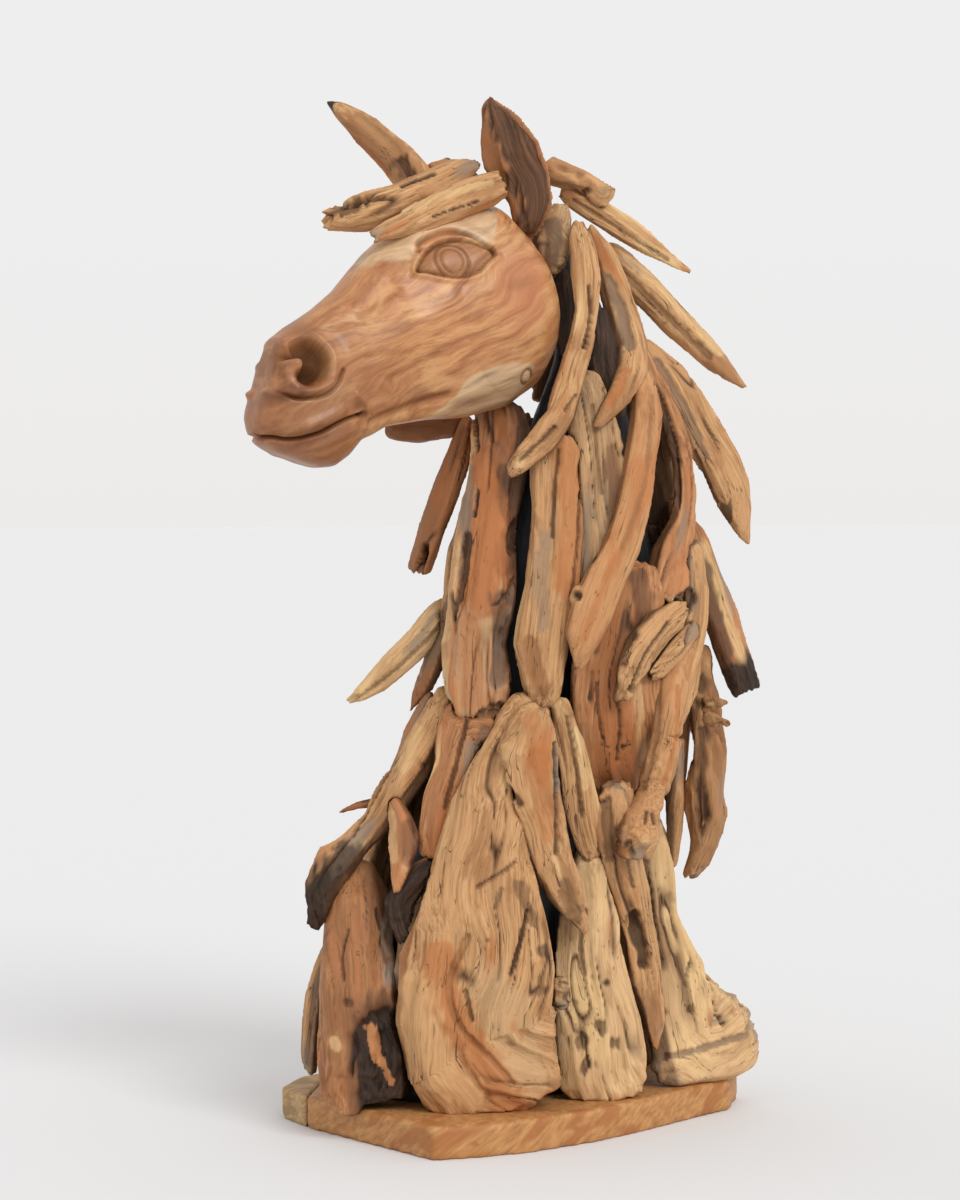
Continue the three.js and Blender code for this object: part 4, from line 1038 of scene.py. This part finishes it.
# Features of the face by (p, q), the same on both sides. A positive height stands proud.
face = {
    "ridges": [
        mark([(80, 82), (64, 93), (44, 94), (22, 84), (4, 64)], 9, high=2.2),  # brow
        mark([(118, 68), (155, 50), (190, 42)], 11, high=1.8),  # edge of the bridge
        mark([(70, 25), (110, 12), (150, 8)], 26, high=3.0),  # bone of the cheek
        mark([(266, 9), (250, 4), (238, -1), (225, -3), (212, -5), (200, -3)],
             6, high=3.5, through=True),  # fold under the nostril
        mark([(262, -26), (243, -32), (220, -33), (198, -30)], 9, high=3.0),  # upper lip
        mark([(250, -50), (232, -52), (210, -51), (188, -50)], 8, high=2.5),  # lower lip
        mark([(178, -22), (172, -32), (171, -46), (175, -54)], 5, high=2.6),  # corner of the mouth
        mark([(165, -62), (130, -62), (90, -68)], 12, high=2.5),  # edge of the jaw
    ],
    "grooves": [
        mark([(74, 79), (68, 86), (51, 88), (34, 85), (21, 75), (8, 58)], 3.0, deep=3.0),  # lid fold
        mark([(84, 64), (92, 61)], 3.0, deep=1.6),
        mark([(10, 55), (2, 50)], 3.0, deep=1.4),
        mark([(247, 4), (237, -5), (225, -9), (215, -11), (206, -11), (194, -7), (184, 3)],
             3.4, deep=3.6),
        mark([(290, -24), (268, -31), (255, -38), (243, -41), (224, -42), (199, -40), (178, -41)],
             3.2, deep=5.5, through=True),  # mouth
        mark([(176, -42)], 5.5, deep=4.0),
        mark([(170, -50), (148, -50), (115, -50), (93, -52)], 6, deep=2.2),
        mark([(150, 35), (172, 38), (192, 44)], 3.5, deep=1.0),
        mark([(108, 52), (135, 45), (150, 42)], 4, deep=1.2),
        mark([(146, -18), (118, -16), (96, -12)], 6, deep=1.4),
        mark([(160, 6), (135, 2), (120, -2)], 4, deep=0.9),
        mark([(63, -11), (47, -12), (30, -12)], 1.6, deep=0.8),
        mark([(226, 42), (235, 24), (243, 6)], 4, deep=1.2),
    ],
    "darkLines": [
        mark([(262, -30), (243, -36), (215, -38)], 7, dark=0.35),
        mark([(244, 0), (232, -2)], 7, dark=0.3),
        mark([(240, 20), (232, 36)], 8, dark=0.25),
        mark([(172, -38), (180, -30)], 7, dark=0.35),
        mark([(246, -46), (220, -46)], 4, dark=0.25),
    ],
    "cheek": {"middle": (2, -8), "reach": (62, 74), "high": 3.5},
    "flare": {"middle": (204, 17), "wide": 34, "high": 4},  # of the nostril
    "eye": {"middle": (47, 61.5), "reach": (40, 19), "dome": 5.0, "sunk": 2.0, "cut": 3.0, "lid": 1.7,
            "iris": (51.5, 61), "rings": [(15.5, 1.9), (10.5, 1.2)]},
    "nostril": {"deep": 15, "throat": (219, 10), "throatDeep": 9, "rim": 1.6},
    "knot": {"middle": (10, -62), "high": 2.0, "ring": 6.5, "cut": 1.5},
}
eyeOutline = [(84, 64), (71, 74), (56, 79), (41, 78), (26, 71.5), (15, 62.5), (8, 54), (20, 49.5),
              (33, 44.5), (51, 46), (67, 53), (78, 60)]
nostrilOutline = [(237, 31), (222, 42), (205, 43), (194, 33), (191, 18), (199, 3), (211, -1), (224, 1),
                  (231, 9), (229, 17), (221, 20), (221, 26)]
cheekSapwood = [(107, -67), (89, -57), (75, -47), (56, -41), (34, -41), (13, -46), (1, -54), (8, -65),
                (20, -78), (36, -90), (62, -90), (84, -80)]
browSapwood = [(137, 104), (135, 82), (110, 79), (86, 76), (70, 87), (50, 91), (34, 88), (20, 77),
               (8, 62), (-12, 76), (-25, 98), (20, 112), (100, 112)]


def carveHead(mesh, own):
    p, w, q = own.T
    row = pointsOf(mesh)
    normal = normalsOf(mesh)
    half = np.interp(p, [row[0] for row in headSections], [row[3] for row in headSections])
    side = ramp(np.abs(w) / half, 0.15, 0.5)
    shift = np.zeros(len(p))
    tints = {name: np.zeros(len(p)) for name in tintNames}
    cheek, flare, eye, nostril, knot = [
        face[part] for part in ("cheek", "flare", "eye", "nostril", "knot")]
    alongP, alongQ = [(v - m) / r for v, m, r in zip((p, q), cheek["middle"], cheek["reach"])]
    shift += cheek["high"] * np.clip(1 - alongP ** 2 - alongQ ** 2, 0, 1) ** 0.5 * side
    reach = np.hypot((p - flare["middle"][0]) / 1.1, q - flare["middle"][1])
    shift += flare["high"] * side * stroke(reach, flare["wide"])
    flat = ramp(p, 264, 236)  # most features fade out before the flat end of the nose
    for ridge in face["ridges"]:
        raised = stroke(distanceTo(p, q, ridge["path"]), ridge["wide"]) * side
        shift += ridge["high"] * raised * (1 if ridge.get("through") else flat)
    # eye: a dome inside two lids, with the rings of the iris cut in it, and painted shade in the cut
    # round it and in the rings
    gap = insideOf(p, q, eyeOutline)
    roundness = np.hypot(*[(v - m) / r for v, m, r in zip((p, q), eye["middle"], eye["reach"])])
    ball = eye["dome"] * np.clip(1 - roundness ** 2, 0, 1) - eye["sunk"]
    shift += side * np.where(gap > 0, ball, 0)
    shift -= side * eye["cut"] * stroke(np.abs(gap), 2.0)
    shift += side * eye["lid"] * stroke(np.abs(gap + 3.6), 3.2)
    tints["hollow"] += side * 0.65 * stroke(np.abs(gap), 2.4)
    iris = np.hypot(p - eye["iris"][0], q - eye["iris"][1])
    eyeball = 0.5 * side * ramp(gap, 0, 3)
    for radius, deep in eye["rings"]:
        ring = side * stroke(np.abs(iris - radius), 2.0) * ramp(gap, 0, 2)
        shift -= deep * ring
        tints["hollow"] += 0.45 * ring
    # nostril: a deep cup with an inner wing, its rim rolled out, with painted shade inside the cup
    cup = insideOf(p, q, nostrilOutline)
    flank = ramp(np.abs(w) / half, 0.35, 0.7)
    throat = stroke(np.hypot(p - nostril["throat"][0], q - nostril["throat"][1]), 16)
    shift -= flank * (ramp(cup, -0.5, 5) * (nostril["deep"] + nostril["throatDeep"] * throat))
    shift += flank * nostril["rim"] * stroke(np.abs(cup + 4), 4.5)
    tints["hollow"] += flank * ramp(cup, 0.5, 6) * 0.85
    # grooves cut in the face, with painted shade in them that grows with their depth
    for groove in face["grooves"]:
        cut = stroke(distanceTo(p, q, groove["path"]), groove["wide"]) * side
        cut = cut * (1 if groove.get("through") else flat)
        shift -= groove["deep"] * cut
        tints["hollow"] += cut * min(0.8, 0.16 * groove["deep"])
    for touch in face["darkLines"]:  # darker lines along the lips, at the corner of the mouth and round the nostril
        gap = distanceTo(p, q, touch["path"]) + 0.4 * touch["wide"] * lumps(p / 9, q / 4, w / 8, 908)
        tints["hollow"] += touch["dark"] * stroke(gap, touch["wide"])
    # knot at the corner of the jaw, with painted shade in the ring cut round it
    reach = np.hypot(p - knot["middle"][0], q - knot["middle"][1])
    rim = np.abs(reach - knot["ring"])
    shift += side * (knot["high"] * stroke(np.abs(reach - 2), 3) - knot["cut"] * stroke(rim, 2))
    tints["hollow"] += side * 0.6 * stroke(rim, 2.2)
    # tool marks and the fine unevenness of sanded grain
    shift += 0.7 * lumps(p / 34, q / 20, w / 20, 901) + 0.2 * lumps(p / 30, q / 6, w / 6, 902)
    row = row + normal * shift[:, None]
    setPoints(mesh, row)
    edge = 3 * lumps(p / 12, q / 9, w / 9, 903)
    tints["pale"] += ramp(insideOf(p, q, cheekSapwood) + edge, -0.5, 2.5) * side
    tints["pale"] += ramp(insideOf(p, q, browSapwood) + edge, -1.5, 3.5)
    warm = lumps(p / 60, q / 45, w / 60, 904) + 1.2 * stroke(np.hypot(p + 10, q - 5), 70)
    tints["red"] = ramp(warm, 0.3, 1.4) * 0.6
    tints["grey"] = ramp(lumps(p / 40, q / 22, w / 40, 905), 0.25, 0.8) * 0.45 + eyeball
    tints["grey"] += 0.5 * ramp(p, 110, 225) + 0.2 * stroke(np.hypot(p - 215, q + 42), 42) * side
    curl = stroke(np.hypot(p - 15, q + 12), 75)  # the grain bends round the cheek
    bend = 13 * lumps(p / 60, q / 40, w / 60, 906) + 5 * lumps(p / 24, q / 16, w / 20, 907) + 0.15 * p
    grain = np.stack([p, q + bend - 0.004 * curl * (p - 15) ** 2, w * 0.6], 1)
    setAttributes(mesh, grain, tints)


headPieceMesh, headOwn = headMesh()
carveHead(headPieceMesh, headOwn)
carvedHead = bpy.data.objects.new("carved_head_polished", headPieceMesh)
bpy.context.scene.collection.objects.link(carvedHead)
finishPiece(carvedHead, materials["carved_teak"], "carved_teak", "carved_head")
print("head carved, triangles", len(headPieceMesh.polygons) * 2)

boardKnots = [(-32, 12, 6), (60, 16, 8), (-120, 10, 5), (150, 14, 6)]  # across, height and size


def plank(node, slot, slant, seed):
    piece = wornCopy(node + "_planed", node, sizes["boardVoxel"], 3)
    mesh = piece.data
    co = pointsOf(mesh)
    normal = normalsOf(mesh)
    x, y, z = co @ across, co @ away, co[:, 2]
    flat = 0.35 * lumps(x / 60, y / 60, z / 40, seed) + 0.2 * lumps(x / 14, y / 14, z / 8, seed + 1)
    setPoints(mesh, co + normal * flat[:, None])
    lean = math.radians(slant)
    wave = 6 * lumps(x / 80, y / 80, z / 60, seed + 2)
    grain = np.stack([x * math.cos(lean) + z * math.sin(lean) + y * 0.4,
                      z * math.cos(lean) - x * math.sin(lean) + wave, y * 0.5], 1)
    tints = {name: np.zeros(len(co)) for name in tintNames}
    for place, height, size in boardKnots:
        tints["red"] += 0.7 * stroke(np.hypot(x - place, (z - height) * 1.6), size)
    setAttributes(mesh, grain, tints)
    finishPiece(piece, materials[slot], slot, node)


plank("base_board", "board_wood", 38, 801)
plank("base_board_end_block", "board_grey", 20, 811)

core = wornCopy("painted_core_rough", "painted_core", sizes["coreVoxel"], 4)
corePoints = pointsOf(core.data)
coreX, coreY, coreZ = corePoints @ across, corePoints @ away, corePoints[:, 2]
coreLumps = 4 * lumps(coreX / 30, coreY / 30, coreZ / 60, 821)
coreLumps += 1.5 * lumps(coreX / 8, coreY / 8, coreZ / 40, 822)
setPoints(core.data, corePoints + normalsOf(core.data) * coreLumps[:, None])
setAttributes(core.data, np.stack([coreZ, coreX, coreY], 1), {name: 0 * coreX for name in tintNames})
finishPiece(core, materials["black_paint"], "black_paint", "painted_core")
print("board and core made")

# Lengths in metres; the key light's place is across, away and up.
studio = {"backdrop": "#efeeee", "horizon": "#ecebea", "floor": "#dedede", "floorReach": 60,
          "key": 1.5, "keyAngle": 28, "keyPlace": (1.1, -1.7, 2.1), "keyAim": 0.5}


def makeStudio():
    scene = bpy.context.scene
    scene.view_settings.view_transform = "Standard"
    world = bpy.data.worlds.new("studio")
    world.use_nodes = True
    tree = world.node_tree
    ways = addNode(tree, "ShaderNodeTexCoord")
    height = addNode(tree, "ShaderNodeSeparateXYZ", {"Vector": ways.outputs["Generated"]})
    sweep = addNode(tree, "ShaderNodeValToRGB", {"Fac": height.outputs["Z"]},
                    [(0.0, studio["horizon"]), (0.08, studio["backdrop"])])
    tree.links.new(sweep.outputs["Color"], tree.nodes["Background"].inputs["Color"])
    scene.world = world
    mesh = bpy.data.meshes.new("floor")
    far = studio["floorReach"]
    mesh.from_pydata([(-far, -far, 0), (far, -far, 0), (far, far, 0), (-far, far, 0)], [],
                     [(0, 1, 2, 3)])
    floor = bpy.data.objects.new("floor", mesh)
    floor.location.z = -0.0004
    scene.collection.objects.link(floor)
    material, tree = newMaterial("paper floor")
    shader = addNode(tree, "ShaderNodeBsdfPrincipled", {"Base Color": linear(studio["floor"]),
                     "Roughness": 0.95})
    shader.inputs["Specular IOR Level"].default_value = 0.1
    addNode(tree, "ShaderNodeOutputMaterial", {"Surface": shader.outputs[0]})
    mesh.materials.append(material)
    light = bpy.data.lights.new("key", "SUN")
    light.energy = studio["key"]
    light.angle = math.radians(studio["keyAngle"])
    lamp = bpy.data.objects.new("key", light)
    lamp.location = sum(way * reach for way, reach in zip((across, away, up), studio["keyPlace"]))
    aim = Vector((0, 0, studio["keyAim"])) - lamp.location
    lamp.rotation_euler = aim.to_track_quat("-Z", "Y").to_euler()
    scene.collection.objects.link(lamp)


makeStudio()
print("studio lit")
